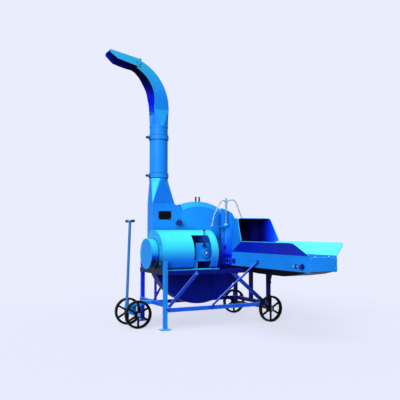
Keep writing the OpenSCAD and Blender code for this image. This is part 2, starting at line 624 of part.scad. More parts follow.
// Guide rails outside a cheek, with a rest under the sliding block
module block_guide(x0, x1) {
  for (s = [-1, 1]) box(x0, x1, roller_y + s * 53 - 7, roller_y + s * 53 + 7, 776, 1090);
  box(x0, x1, roller_y - 60, roller_y + 60, 776, up_z - 45);
}
module near_cheek() color(blue) difference() {
  union() {
    yz(feed_x0, feed_x0 + cheek_t) difference() {
      polygon([[joint_y, panel_z0], [casing_y - 2, panel_z0], [casing_y - 2, 1330], [510, 1292],
        [joint_y, roof_z + 75], [joint_y, panel_z0]]);
      cheek_holes();
      translate([610, 1052]) circle(r = 40);
    }
    block_guide(rod_x - 22, feed_x0);
    box(rod_x - 22, feed_x0, roller_y - 60, roller_y + 60, 1078, 1090);
    box(175, feed_x0, roller_y - 20, roller_y + 20, 1099, 1107);
    yz(feed_x0 - 40, feed_x0) polygon([[roller_y + 20, 1099], [roller_y + 20, 1107], [casing_y - 30, 1107]]);
  }
  cz(1070, 1120, rod_x, roller_y, 9 + gap);
}
module far_cheek() color(blue) {
  yz(far_cheek_x, far_cheek_x + cheek_t) difference() {
    polygon([[joint_y, panel_z0], [casing_y - 2, panel_z0], [casing_y - 2, roof_z], [joint_y, roof_z]]);
    cheek_holes();
  }
  block_guide(far_cheek_x + cheek_t, far_cheek_x + cheek_t + 30);
  box(feed_x1 - 4, feed_x1, joint_y, casing_y - 2, panel_z0, roof_z);
  box(far_cheek_x + cheek_t, feed_x1 - 4, casing_y - 8, casing_y - 2, panel_z0, roof_z);
  translate([0, 0, bed_z + 10]) linear_extrude(height = roof_z - bed_z - 10) polygon([[far_cheek_x, joint_y],
    [feed_x1 - 4, joint_y - 60], [feed_x1 - 4, joint_y - 54], [far_cheek_x + 4, joint_y]]);
}
module throat_plate() color("silver") {
  difference() {
    box(feed_x0 + cheek_t, far_cheek_x, casing_y - 14, casing_y - 2, panel_z0, roof_z);
    box(feed_x0 + cheek_t - 1, far_cheek_x + 1, casing_y - 20, casing_y, bed_z - 18, 872);
  }
  box(feed_x0 + cheek_t, far_cheek_x, roller_y + low_r + 14, casing_y + 6, bed_z - 18, bed_z);
  box(feed_x0 + cheek_t, far_cheek_x, roller_y + up_r + 12, casing_y - 2, 872, 880);
}
// One spreading side of the hood, running forward from the cheek; rise is the crest at its back edge
module hood_side(rise) {
  s = 1 / cos(hood_a);
  polygon([[0, panel_z1 + 2], [(mouth_y0 - joint_y) * s, 939], [(mouth_y1 - joint_y) * s, roof_z + 8],
    [-120 * s, roof_z + 8], [0, roof_z + rise]]);
}
module hood() color(blue) {
  translate([feed_x0, joint_y, 0]) rotate([0, 0, -hood_a]) yz(0, 4) hood_side(75);
  translate([feed_x1, joint_y, 0]) rotate([0, 0, hood_a]) yz(-4, 0) hood_side(8);
  w = (joint_y - mouth_y1 - 2) * hood_slope;
  translate([0, 0, roof_z]) linear_extrude(height = 4) polygon([[feed_x0 + cheek_t, casing_y - 2],
    [feed_x0 + cheek_t, joint_y - 3], [feed_x0 + 1.3, joint_y - 3], [feed_x0 + 2 - w, mouth_y1 + 2],
    [feed_x1 - 2 + w, mouth_y1 + 2], [feed_x1 - 1.3, joint_y - 3], [feed_x1 - 1.3, joint_y + 2],
    [feed_x1, joint_y + 2], [feed_x1, casing_y - 2]]);
}
module ribbed_roller(z, r, n, a0) {
  x0 = feed_x0 + cheek_t + 4;
  x1 = far_cheek_x - 4;
  cx(x0, x1, roller_y, z, r - 14);
  for (i = [0:n - 1]) translate([0, roller_y, z]) rotate([a0 + i * 360 / n, 0, 0])
    box(x0 + 3, x1 - 3, -5, 5, r - 20, r - 1);
}
module lower_roller() color("dimgray") {
  ribbed_roller(low_z, low_r, 10, 11);
  cx(feed_x0 - 28, far_cheek_x + 45, roller_y, low_z, shaft_f);
}
module upper_roller() color("dimgray") {
  ribbed_roller(up_z, up_r, 12, 0);
  cx(rod_x - 24, far_cheek_x + 40, roller_y, up_z, shaft_f);
}
module roller_bearings() color(blue) difference() {
  union() {
    cx(feed_x0 - 24, feed_x0, roller_y, low_z, 44);
    cx(far_cheek_x + cheek_t, far_cheek_x + cheek_t + 24, roller_y, low_z, 44);
  }
  cx(feed_x0 - 60, feed_x1, roller_y, low_z, shaft_f + fit);
}
module float_blocks() color(blue) difference() {
  union() {
    box(rod_x - 20, feed_x0 - gap, roller_y - 46 + gap, roller_y + 46 - gap, up_z - 45, up_z + 38);
    box(far_cheek_x + cheek_t + gap, far_cheek_x + cheek_t + 28, roller_y - 46 + gap, roller_y + 46 - gap,
      up_z - 45, up_z + 38);
  }
  cx(rod_x - 60, feed_x1, roller_y, up_z, shaft_f + fit);
}
module pressure_rod() color("deepskyblue") {
  cz(up_z + 38, eye_z + 45, rod_x, roller_y, 9);
  cz(cap_z, cap_z + 8, rod_x, roller_y, 33);
  translate([rod_x, roller_y, cap_z + 8]) cylinder(h = 18, r1 = 33, r2 = 14);
}
// Pressing spring: one round wire wound round the rod, with flat-ended coils
wire_r = 2.6;
coil_r = 14;
coil_n = 17;
coil_z = [cap_z + 26 + wire_r + 0.2, eye_z - 8 - wire_r - 0.2];
rings = 8 * coil_n;
function helix(i) = let (a = i * 360 / 8) [rod_x + coil_r * cos(a), roller_y + coil_r * sin(a),
  coil_z[0] + (coil_z[1] - coil_z[0]) * i / rings];
function wire_point(i, k) = let (a = i * 45, b = k * 60, c = helix(i))
  c + wire_r * [cos(b) * cos(a), cos(b) * sin(a), sin(b)];
spring_gap = min([for (i = [0:7], k = [0:5], m = [0:5]) norm(wire_point(i + 8, k) - wire_point(i, m))]);
module spring() color("gainsboro") {
  echo(spring_gap = spring_gap);
  polyhedron(
    points = [for (i = [0:rings], k = [0:5]) wire_point(i, k)],
    faces = concat(
      [[for (k = [0:5]) k]], [[for (k = [5:-1:0]) rings * 6 + k]],
      [for (i = [0:rings - 1], k = [0:5]) each [[i * 6 + k, (i + 1) * 6 + k, i * 6 + (k + 1) % 6],
        [i * 6 + (k + 1) % 6, (i + 1) * 6 + k, (i + 1) * 6 + (k + 1) % 6]]]));
}
// Bent bar over the head, with the spring's upper seat at its dip
bail_path = [[188, 1107], [214, 1238], [300, 1381], [335, 1415], [rod_x, eye_z], [425, 1415], [480, 1420],
  [514, 1393], [600, roof_z + 4]];
module bail() color("lightgray") difference() {
  union() {
    for (i = [0:len(bail_path) - 2]) rod([bail_path[i][0], roller_y, bail_path[i][1]],
      [bail_path[i + 1][0], roller_y, bail_path[i + 1][1]], 6);
    for (i = [1:len(bail_path) - 2]) translate([bail_path[i][0], roller_y, bail_path[i][1]]) sphere(r = 6.8);
    cz(eye_z - 8, eye_z + 8, rod_x, roller_y, 19);
    for (p = [bail_path[0], bail_path[8]]) cz(p[1], p[1] + 8, p[0], roller_y, 14);
  }
  cz(eye_z - 30, eye_z + 30, rod_x, roller_y, 9 + gap);
  box(150, 220, roller_y - 30, roller_y + 30, 1080, 1107);
  box(580, 640, roller_y - 30, roller_y + 30, roof_z - 20, roof_z + 4);
}

// Feed table
module shaft_seat(x0, x1, y) difference() {
  cx(x0, x1, y, loop_z, 27);
  cx(x0 - 1, x1 + 1, y, loop_z, 15 + fit);
}
module trough() color(blue) {
  difference() {
    union() {
      for (x = [feed_x0, feed_x1 - 4]) box(x, x + 4, table_y, joint_y, panel_z0, panel_z1);
      box(feed_x0 + 4, feed_x0 + 30, table_y, joint_y, panel_z0, panel_z0 + 4);
      box(feed_x1 - 30, feed_x1 - 4, table_y, joint_y, panel_z0, panel_z0 + 4);
      box(feed_x0, feed_x1, table_y - 4, table_y, 660, 796);
      box(feed_x0 + 4, feed_x1 - 4, table_y, table_y + 34, 792, 796);
      for (x = [feed_x0 + 75, feed_x1 - 85]) cz(796, 803, x, table_y + 16, 9);
      box(feed_x0 + 4, feed_x1 - 4, tail_y + 60, head_y - 60, loop_z + loop_r - 12, loop_z + loop_r - 8);
    }
    for (y = [head_y, tail_y]) cx(feed_x0 - 10, feed_x1 + 10, y, loop_z, 15 + fit);
  }
  for (x = [feed_x0 - 18, feed_x1]) {
    shaft_seat(x, x + 18, head_y);
    shaft_seat(x, x + 18, tail_y);
    box(x, x + 18, tail_y + 20, tail_y + 36, loop_z - 12, loop_z + 12);
    difference() {
      box(x, x + 18, tail_y + 92, tail_y + 104, loop_z - 18, loop_z + 18);
      cy(tail_y + 90, tail_y + 106, x + 9, loop_z, 5 + fit);
    }
  }
}
module near_flare() color(blue) translate([feed_x0, 0, panel_z1]) rotate([0, -flare_a, 0]) yz(0, 4)
  polygon([[table_y, 0], [joint_y - 4, 0], [mouth_y0, flare_len - 4], [mouth_y0 - 4, flare_len],
    [table_y + 140, flare_len]]);
module far_flare() color(blue) translate([feed_x1, 0, panel_z1]) rotate([0, flare_a, 0]) yz(-4, 0) {
  polygon([[table_y, 0], [joint_y - 4, 0], [mouth_y0, flare_len - 4], [mouth_y0 - 4, flare_len],
    [table_y + 60, flare_len], [table_y, flare_len - 60]]);
  translate([table_y + 60, flare_len - 60]) circle(r = 60);
}
sprocket_x = [feed_x0 + 62, feed_x1 - 62];
module chain_shaft(y) color("dimgray") {
  cx(feed_x0 - 22, feed_x1 + 22, y, loop_z, 15);
  for (x = sprocket_x) {
    cx(x - 5, x + 5, y, loop_z, 28);
    for (i = [0:8]) translate([0, y, loop_z]) rotate([i * 40, 0, 0]) box(x - 5, x + 5, -4, 4, 20, loop_r - 9);
  }
}
module head_shaft() chain_shaft(head_y);
module tail_shaft() chain_shaft(tail_y);
// Outline of the chain loop round both shafts
module loop_line(r) {
  for (y = [head_y, tail_y]) translate([y, loop_z]) circle(r = r);
  translate([tail_y, loop_z - r]) square([head_y - tail_y, 2 * r]);
}
module apron() color("gray") {
  for (x = sprocket_x) yz(x - 8, x + 8) difference() { loop_line(loop_r); loop_line(loop_r - 8); }
  pitch = (head_y - tail_y) / (slat_n - 1);
  for (i = [0:slat_n - 1]) translate([0, tail_y + i * pitch, loop_z])
    box(feed_x0 + 34, feed_x1 - 34, -13, 13, loop_r - 3, loop_r + 9);
  for (i = [0:slat_n - 2]) translate([0, tail_y + (i + 0.5) * pitch, loop_z])
    box(feed_x0 + 34, feed_x1 - 34, -13, 13, -loop_r - 6, 3 - loop_r);
}
pan_line = [[195, 648], [110, 604], [-120, 590], [-600, 590], [-850, 622], [-985, panel_z0]];
module return_pan() color("black") {
  difference() {
    yz(feed_x0 + 5, feed_x1 - 5) polygon(concat(pan_line, [[195, panel_z0]]));
    yz(feed_x0 + 8, feed_x1 - 8) translate([0, 3]) polygon(concat(pan_line, [[-985, 700], [195, 700]]));
  }
}
module tension_screws() color("silver") for (x = [feed_x0 - 9, feed_x1 + 9]) {
  cy(tail_y + 36, tail_y + 132, x, loop_z, 5);
  hex_y(tail_y + 84, tail_y + 92, x, loop_z, 15);
  hex_y(tail_y + 132, tail_y + 140, x, loop_z, 15);
}

frame_legs();
frame_rails();
right_posts();
frame_braces();
casing_arms();
rear_axle();
wheel_rear_near();
wheel_rear_far();
steer_bracket();
kingpin();
steering_bogie();
wheel_front_near();
wheel_front_far();
drawbar();
drawbar_pin();
drawbar_grips();
lower_casing();
chute_base();
chute_transition();
lower_pipe();
lower_clamp();
swivel_clamp();
spout();
spout_flap();
flap_pin();
upper_cover();
cover_hinge_pin();
star_knob();
blank_plate();
main_shaft();
knife_disc();
knives();
paddles();
rear_bearing();
guard_tray();
motor_guard();
fan_cowl();
motor_body();
motor_shaft();
gearbox();
shift_lever();
near_cheek();
far_cheek();
throat_plate();
hood();
lower_roller();
upper_roller();
roller_bearings();
float_blocks();
pressure_rod();
spring();
bail();
trough();
near_flare();
far_flare();
head_shaft();
tail_shaft();
apron();
return_pan();
tension_screws();
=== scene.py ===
"""Looks of a trailed forage chopper.

Blue enamelled sheet and tube, cast wheels, bright rods and a sprung feed head."""

import json
import math

import bmesh
import bpy
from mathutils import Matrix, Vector


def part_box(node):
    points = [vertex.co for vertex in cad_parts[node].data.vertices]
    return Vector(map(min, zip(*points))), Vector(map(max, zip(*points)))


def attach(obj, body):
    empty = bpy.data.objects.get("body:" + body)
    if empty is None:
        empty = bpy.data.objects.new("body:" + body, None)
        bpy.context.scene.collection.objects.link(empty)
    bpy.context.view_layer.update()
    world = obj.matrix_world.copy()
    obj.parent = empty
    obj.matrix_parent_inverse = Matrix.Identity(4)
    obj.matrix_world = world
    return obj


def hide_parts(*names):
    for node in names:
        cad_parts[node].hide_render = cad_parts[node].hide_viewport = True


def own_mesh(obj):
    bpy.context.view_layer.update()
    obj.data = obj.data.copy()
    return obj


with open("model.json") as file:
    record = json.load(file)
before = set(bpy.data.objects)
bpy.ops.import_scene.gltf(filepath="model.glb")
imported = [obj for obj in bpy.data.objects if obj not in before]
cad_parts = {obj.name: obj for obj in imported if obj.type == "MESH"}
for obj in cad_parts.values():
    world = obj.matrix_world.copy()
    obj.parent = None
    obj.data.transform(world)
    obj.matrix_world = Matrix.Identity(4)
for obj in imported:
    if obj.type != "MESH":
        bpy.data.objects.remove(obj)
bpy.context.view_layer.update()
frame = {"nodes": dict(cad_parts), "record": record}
scene = bpy.context.scene
scene.view_settings.view_transform = "Standard"

MM = 0.001
X_AXIS = Vector((1, 0, 0))
Y_AXIS = Vector((0, 1, 0))
Z_AXIS = Vector((0, 0, 1))


# Camera at the photograph's viewing angle

CAMERA_PLACE = (-3.033, -5.39, 1.05)
CAMERA_TURN = (93.09, 0.0, -27.6)
SENSOR_MM = 36.0
IMAGE_PIXELS = 400
FOCAL_PIXELS = 574


def place_camera():
    """The camera stands where the photograph was taken from, with the same field of view."""
    data = bpy.data.cameras.new("camera")
    data.sensor_fit = "HORIZONTAL"
    data.sensor_width = SENSOR_MM
    data.lens = SENSOR_MM * FOCAL_PIXELS / IMAGE_PIXELS
    camera = bpy.data.objects.new("camera", data)
    camera.location = CAMERA_PLACE
    camera.rotation_euler = [math.radians(angle) for angle in CAMERA_TURN]
    scene.collection.objects.link(camera)
    scene.camera = camera


# Shader helpers


def linear(hex_colour):
    """Linear RGBA of an sRGB hex value."""
    shares = [int(hex_colour[i:i + 2], 16) / 255 for i in (1, 3, 5)]
    return [c / 12.92 if c <= 0.04045 else ((c + 0.055) / 1.055) ** 2.4 for c in shares] + [1.0]


def add(tree, kind, settings=None, inputs=None, stops=()):
    """Adds a shader node.

    An input is a value, or a (node, output) pair to link; stops are a ramp's places and colours."""
    node = tree.nodes.new("ShaderNode" + kind)
    for name, value in (settings or {}).items():
        setattr(node, name, value)
    for name, value in (inputs or {}).items():
        if isinstance(value, tuple) and isinstance(value[0], bpy.types.Node):
            tree.links.new(value[0].outputs[value[1]], node.inputs[name])
        else:
            node.inputs[name].default_value = value
    for i, (place, colour) in enumerate(stops):
        elements = node.color_ramp.elements
        stop = elements[i] if i < len(elements) else elements.new(place)
        stop.position = place
        stop.color = linear(colour)
    return node


def per_metre(size_mm):
    """Texture scale whose pattern repeats about every size_mm."""
    return 1 / (size_mm * MM)


def new_material(name, sockets):
    """A material with one principled shader; sockets that are the same all over are set here."""
    material = bpy.data.materials.new(name)
    material.use_nodes = True
    tree = material.node_tree
    shader = tree.nodes["Principled BSDF"]
    for socket, value in sockets.items():
        shader.inputs[socket].default_value = value
    return material, tree, shader


def dress(tree, shader, colour, gloss, relief):
    """Links a finish's mixed colour, roughness and relief to its shader."""
    tree.links.new(colour.outputs[2], shader.inputs["Base Color"])
    tree.links.new(gloss.outputs[0], shader.inputs["Roughness"])
    tree.links.new(relief.outputs[0], shader.inputs["Normal"])


# Finishes

COLOUR_MIX = {"data_type": "RGBA"}
SMOOTH = {"interpolation_type": "SMOOTHSTEP"}
# Pale edge colour of the blue enamel: partly paint worn thin, partly a painted highlight
EDGE_HIGHLIGHT_BLUE = "#57C6FF"
# Painted light: high on the spout, between these heights in metres, the enamel turns towards this pale cyan
SPOUT_TOP_HIGHLIGHT = "#40DCFF"
SPOUT_TOP_LIGHT_Z = (2.6, 3.0)
SPOUT_TOP_LIGHT_SHARE = 0.75

# Sizes of the patterns, in millimetres. Real peel, sand grit, tool marks and mould grain are too fine to show
# in the render, so these are drawn several times coarser.
CLOUD_MM = 420
DUST_MM = 90
PEEL_MM = 9
SHADE_BLOTCH_MM = 120
EDGE_PATCH_MM = 55
IRON_CLOUD_MM = 70
IRON_GRIT_MM = 3.0
OIL_STAIN_MM = 60
SPANGLE_MM = 14
HAND_WEAR_MM = 30

# Planes that bound each place whose enamel takes a colour of its own, as a direction and a distance in
# metres; most of these colours are painted shade. An inside is bounded by the middle planes of its sheets.
HOOD_WALLS = [((1.0, -0.25, 0.0), 0.3195), ((-1.0, -0.25, 0.0), -0.8555),
              ((0.0, 0.0, -1.0), -1.189), ((0.0, 0.0, 1.0), 0.8)]
SPOUT_WALLS = [((0.0, 1.0, 0.0), 0.667), ((0.0, -1.0, 0.0), -0.823), ((0.0, 0.0, 1.0), 2.397)]
SPOUT_CENTRE = (-0.848, 0.0, 2.473)
SPOUT_BACK = 0.565
GUARD_END = -0.530
GUARD_WALL = 0.260
GUARD_ENDS = [((0.0, 1.0, 0.0), 0.352), ((1.0, 0.0, 0.0), -0.528), ((-1.0, 0.0, 0.0), -0.149)]
GUARD_END_PLATE = [((-1.0, 0.0, 0.0), -GUARD_END - 1.5 * MM)]
GUARD_END_SHADE_Z = (0.84, 0.68)
MOTOR_LINE = (0.512, 0.800)
FEED_X = (0.420, 0.755)
FLAP_TILT = math.radians(10.3)
FLAP_UP = Vector((math.sin(FLAP_TILT), 0.0, math.cos(FLAP_TILT)))
FLAP_PIN = Vector((-0.63543, 0.0, 3.01264))
FLAP_WALLS = [((0.0, 1.0, 0.0), 0.659), ((0.0, -1.0, 0.0), -0.831),
              (-FLAP_UP, 0.002 - FLAP_PIN.dot(FLAP_UP))]
BACK_LEG = [((0.0, 1.0, 0.0), 0.6)]
UPPER_RAILS = [((0.0, 0.0, 1.0), 0.5)]
RAILS_BEHIND_CASING = [((0.0, 1.0, 0.0), 0.27), ((1.0, 0.0, 0.0), -0.2)]
WHEEL_BRACE = [((1.0, 0.0, 0.0), 0.45)]
CHEEK_FOOT = [((0.0, 0.0, -1.0), -0.97)]
NEAR_BEARING_SEATS = [((-1.0, 0.0, 0.0), 0.5 * MM - FEED_X[0])]
FAR_BEARING_SEATS = [((1.0, 0.0, 0.0), FEED_X[1] + 0.5 * MM)]
NECK_CORNER_FACING = (-0.707, -0.707, 0.0)
NECK_CORNER_SPREAD = 0.86


def all_of(tree, masks):
    """Mask of what every one of the masks covers."""
    shared = masks[0]
    for mask in masks[1:]:
        shared = add(tree, "Math", {"operation": "MULTIPLY"}, {0: (shared, 0), 1: (mask, 0)})
    return shared


def worn_and_highlit_edges(tree, width_mm, keenness):
    """Mask of the strip along sharp edges, broken up in patches: wear to bare metal on iron, and on enamel
    partly paint worn thin and partly a painted highlight.
    """
    rounded = add(tree, "Bevel", {"samples": 4}, {"Radius": width_mm * MM})
    flat = add(tree, "NewGeometry")
    dot = add(tree, "VectorMath", {"operation": "DOT_PRODUCT"}, {0: (rounded, 0), 1: (flat, "Normal")})
    strip = add(tree, "MapRange", None, {"Value": (dot, "Value"), "From Min": 0.995, "From Max": 0.86})
    place = add(tree, "TexCoord")
    patches = add(tree, "TexNoise", None,
                  {"Vector": (place, "Object"), "Scale": per_metre(EDGE_PATCH_MM), "Detail": 4.0})
    kept = add(tree, "MapRange", None, {"Value": (patches, 0), "From Min": 0.35, "From Max": 0.65})
    mask = all_of(tree, [strip, kept])
    return add(tree, "Math", {"operation": "MULTIPLY", "use_clamp": True}, {0: (mask, 0), 1: keenness})


def painted_hollow_shade(tree, reach_mm, depth):
    """Mask of the hollows, found by ambient occlusion and broken up unevenly; the enamel is darkened there as
    painted shade.
    """
    hollow = add(tree, "AmbientOcclusion", {"samples": 8}, {"Distance": reach_mm * MM})
    shade = add(tree, "MapRange", SMOOTH, {"Value": (hollow, "AO"), "From Min": 0.7, "From Max": 0.3})
    place = add(tree, "TexCoord")
    shade_blotches = add(tree, "TexNoise", None,
                 {"Vector": (place, "Object"), "Scale": per_metre(SHADE_BLOTCH_MM), "Detail": 5.0, "Roughness": 0.6})
    broken = add(tree, "MapRange", None, {"Value": (shade_blotches, 0), "To Min": 0.8, "To Max": 1.1})
    mask = all_of(tree, [shade, broken])
    return add(tree, "Math", {"operation": "MULTIPLY", "use_clamp": True}, {0: (mask, 0), 1: depth})


def past_planes(tree, planes):
    """Mask of what lies past every one of the planes, in the machine's own frame."""
    place = add(tree, "TexCoord")
    masks = []
    for direction, distance in planes:
        along = add(tree, "VectorMath", {"operation": "DOT_PRODUCT"}, {0: (place, "Object"), 1: direction})
        masks.append(add(tree, "Math", {"operation": "GREATER_THAN"}, {0: (along, "Value"), 1: distance}))
    return all_of(tree, masks)


def along_axis(tree, axis, start, end, stops):
    """Colour that changes along one axis of the machine, between two places in metres."""
    place = add(tree, "TexCoord")
    parts = add(tree, "SeparateXYZ", None, {0: (place, "Object")})
    share = add(tree, "MapRange", None, {"Value": (parts, axis), "From Min": start, "From Max": end})
    return add(tree, "ValToRGB", None, {0: (share, 0)}, stops)


def inside_spout(tree):
    """Channel of the spout, between its side plates and short of its curved back, where painted shade goes.
    """
    place = add(tree, "TexCoord")
    offset = add(tree, "VectorMath", {"operation": "SUBTRACT"}, {0: (place, "Object"), 1: SPOUT_CENTRE})
    # Only what lies to the right of the arc's centre or above it counts towards the radius
    ahead = add(tree, "VectorMath", {"operation": "MAXIMUM"}, {0: (offset, 0), 1: (0.0, -9.0, 0.0)})
    flat = add(tree, "VectorMath", {"operation": "MULTIPLY"}, {0: (ahead, 0), 1: (1.0, 0.0, 1.0)})
    radius = add(tree, "VectorMath", {"operation": "LENGTH"}, {0: (flat, 0)})
    short = add(tree, "Math", {"operation": "LESS_THAN"}, {0: (radius, "Value"), 1: SPOUT_BACK})
    return all_of(tree, [past_planes(tree, SPOUT_WALLS), short])


def inside_guard(tree):
    """Inside of the motor guard, behind the gearbox's front face, darkened nearly to black as painted shade.
    """
    place = add(tree, "TexCoord")
    axis = (0.0, *MOTOR_LINE)
    offset = add(tree, "VectorMath", {"operation": "SUBTRACT"}, {0: (place, "Object"), 1: axis})
    across = add(tree, "VectorMath", {"operation": "MULTIPLY"}, {0: (offset, 0), 1: (0.0, 1.0, 1.0)})
    radius = add(tree, "VectorMath", {"operation": "LENGTH"}, {0: (across, 0)})
    within = add(tree, "Math", {"operation": "LESS_THAN"}, {0: (radius, "Value"), 1: GUARD_WALL})
    return all_of(tree, [within, past_planes(tree, GUARD_ENDS)])


def low_on_guard_end(tree):
    """Low half of the guard's end plate, darkened as painted shade."""
    place = add(tree, "TexCoord")
    parts = add(tree, "SeparateXYZ", None, {0: (place, "Object")})
    top, foot = GUARD_END_SHADE_Z
    lower = add(tree, "MapRange", SMOOTH,
                {"Value": (parts, "Z"), "From Min": top, "From Max": foot, "To Max": 0.97})
    return all_of(tree, [past_planes(tree, GUARD_END_PLATE), lower])


def lit_neck_corner(tree):
    """Folded front corner of the chute's neck, which gets a pale cyan painted highlight."""
    place = add(tree, "TexCoord")
    facing = add(tree, "VectorMath", {"operation": "DOT_PRODUCT"},
                 {0: (place, "Normal"), 1: NECK_CORNER_FACING})
    return add(tree, "Math", {"operation": "GREATER_THAN"}, {0: (facing, "Value"), 1: NECK_CORNER_SPREAD})


def enamel(name, lit_and_shaded_tones, edge, hollow_and_patch_colour, patches=(), reach_mm=150, shine=0.12, coat=0.02):
    """Gloss alkyd enamel sprayed on sheet steel.

    The coat gives a soft wet highlight over faint orange peel. Painted light and shade are mixed into the
    colour:
    it is deepest on faces that look down, paler on faces that look up and high on the spout, and pale along
    the edges, partly as paint worn thin and partly as a painted highlight. The hollows get painted shade, and
    the patches a colour of their own, mostly painted shade. That colour is one colour, or a run of colours
    along an axis. A patch is a list of planes, or a function that makes its mask."""
    material, tree, shader = new_material(name, {
        "IOR": 1.45, "Specular IOR Level": shine, "Coat Weight": coat, "Coat Roughness": 0.2})
    place = add(tree, "TexCoord")
    facing = add(tree, "SeparateXYZ", None, {0: (place, "Normal")})
    height = add(tree, "MapRange", None, {"Value": (facing, "Z"), "From Min": -1.0, "From Max": 1.0})
    tone = add(tree, "ValToRGB", None, {0: (height, 0)}, lit_and_shaded_tones)
    clouds = add(tree, "TexNoise", None,
                 {"Vector": (place, "Object"), "Scale": per_metre(CLOUD_MM), "Detail": 5.0, "Roughness": 0.6})
    drift = add(tree, "MapRange", None,
                {"Value": (clouds, 0), "From Min": 0.3, "From Max": 0.7, "To Min": 0.86, "To Max": 1.08})
    level = add(tree, "SeparateXYZ", None, {0: (place, "Object")})
    # Painted light high on the spout
    start, end = SPOUT_TOP_LIGHT_Z
    top_lit = add(tree, "MapRange", None,
                {"Value": (level, "Z"), "From Min": start, "From Max": end, "To Max": SPOUT_TOP_LIGHT_SHARE})
    with_top_light = add(tree, "Mix", COLOUR_MIX, {0: (top_lit, 0), 6: (tone, 0), 7: linear(SPOUT_TOP_HIGHLIGHT)})
    shaded = add(tree, "VectorMath", {"operation": "SCALE"}, {0: (with_top_light, 2), "Scale": (drift, 0)})
    # Pale edge strip: partly paint worn thin, partly a painted highlight
    rubbed = worn_and_highlit_edges(tree, 5.0, 0.55)
    worn = add(tree, "Mix", COLOUR_MIX, {0: (rubbed, 0), 6: (shaded, 0), 7: linear(edge)})
    # Painted shade in the hollows, then the patches' own colours, mostly painted shade
    hollows = painted_hollow_shade(tree, reach_mm, 0.94)
    for patch in patches:
        cover = patch(tree) if callable(patch) else past_planes(tree, patch)
        hollows = add(tree, "Math", {"operation": "MAXIMUM"}, {0: (hollows, 0), 1: (cover, 0)})
    hollow_and_patch_tint = linear(hollow_and_patch_colour) if isinstance(hollow_and_patch_colour, str) else (along_axis(tree, *hollow_and_patch_colour), 0)
    colour = add(tree, "Mix", COLOUR_MIX, {0: (hollows, 0), 6: (worn, 2), 7: hollow_and_patch_tint})
    dust = add(tree, "TexNoise", None,
               {"Vector": (place, "Object"), "Scale": per_metre(DUST_MM), "Detail": 6.0, "Roughness": 0.7})
    gloss = add(tree, "MapRange", None, {"Value": (dust, 0), "To Min": 0.34, "To Max": 0.56})
    peel = add(tree, "TexNoise", None,
               {"Vector": (place, "Object"), "Scale": per_metre(PEEL_MM), "Detail": 2.0})
    relief = add(tree, "Bump", None, {"Height": (peel, 0), "Distance": 0.35 * MM, "Strength": 0.18})
    dress(tree, shader, colour, gloss, relief)
    return material


def cast_iron(name, dark, pale, edge, metal=0.0, shine=0.5):
    """Sand-cast iron: a gritty skin with soft cloudy tone, rubbed to bare metal on its edges."""
    material, tree, shader = new_material(name, {"Metallic": metal, "IOR": 1.5, "Specular IOR Level": shine})
    place = add(tree, "TexCoord")
    grit = add(tree, "TexNoise", None, {"Vector": (place, "Object"), "Scale": per_metre(IRON_GRIT_MM),
                                        "Detail": 6.0, "Roughness": 0.65})
    clouds = add(tree, "TexNoise", None,
                 {"Vector": (place, "Object"), "Scale": per_metre(IRON_CLOUD_MM), "Detail": 4.0})
    tone = add(tree, "Mix", COLOUR_MIX, {0: (clouds, 0), 6: linear(dark), 7: linear(pale)})
    rubbed = worn_and_highlit_edges(tree, 4.0, 0.6)
    colour = add(tree, "Mix", COLOUR_MIX, {0: (rubbed, 0), 6: (tone, 2), 7: linear(edge)})
    gloss = add(tree, "MapRange", None, {"Value": (grit, 0), "To Min": 0.4, "To Max": 0.62})
    relief = add(tree, "Bump", None, {"Height": (grit, 0), "Distance": 0.8 * MM, "Strength": 0.4})
    dress(tree, shader, colour, gloss, relief)
    return material


def worked_steel(name, dark, pale, rough, streak, streak_mm):
    """Bare steel with fine turning or grinding marks that run across the streak direction."""
    material, tree, shader = new_material(name, {"Metallic": 1.0})
    place = add(tree, "TexCoord")
    stretch = add(tree, "Mapping", None, {"Vector": (place, "Object"), "Scale": streak})
    marks = add(tree, "TexNoise", None,
                {"Vector": (stretch, 0), "Scale": per_metre(streak_mm), "Detail": 4.0, "Roughness": 0.7})
    stains = add(tree, "TexNoise", None,
                 {"Vector": (place, "Object"), "Scale": per_metre(OIL_STAIN_MM), "Detail": 5.0})
    mixed = all_of(tree, [marks, stains])
    spread = add(tree, "MapRange", None, {"Value": (mixed, 0), "From Min": 0.12, "From Max": 0.4})
    colour = add(tree, "Mix", COLOUR_MIX, {0: (spread, 0), 6: linear(dark), 7: linear(pale)})
    gloss = add(tree, "MapRange", None,
                {"Value": (stains, 0), "To Min": rough * 0.75, "To Max": rough * 1.35})
    relief = add(tree, "Bump", None, {"Height": (marks, 0), "Distance": 0.15 * MM, "Strength": 0.2})
    dress(tree, shader, colour, gloss, relief)
    return material


def galvanised(name, dark, pale):
    """Hot-dip zinc on a bent bar: a matt grey skin with pale and dark crystal spangle."""
    material, tree, shader = new_material(name, {"Metallic": 0.85})
    place = add(tree, "TexCoord")
    spangle = add(tree, "TexVoronoi", None, {"Vector": (place, "Object"), "Scale": per_metre(SPANGLE_MM)})
    tone = add(tree, "SeparateColor", None, {0: (spangle, "Color")})
    colour = add(tree, "Mix", COLOUR_MIX, {0: (tone, 0), 6: linear(dark), 7: linear(pale)})
    gloss = add(tree, "MapRange", None, {"Value": (tone, 1), "To Min": 0.35, "To Max": 0.55})
    relief = add(tree, "Bump", None,
                 {"Height": (spangle, "Distance"), "Distance": 0.1 * MM, "Strength": 0.2})
    dress(tree, shader, colour, gloss, relief)
    return material


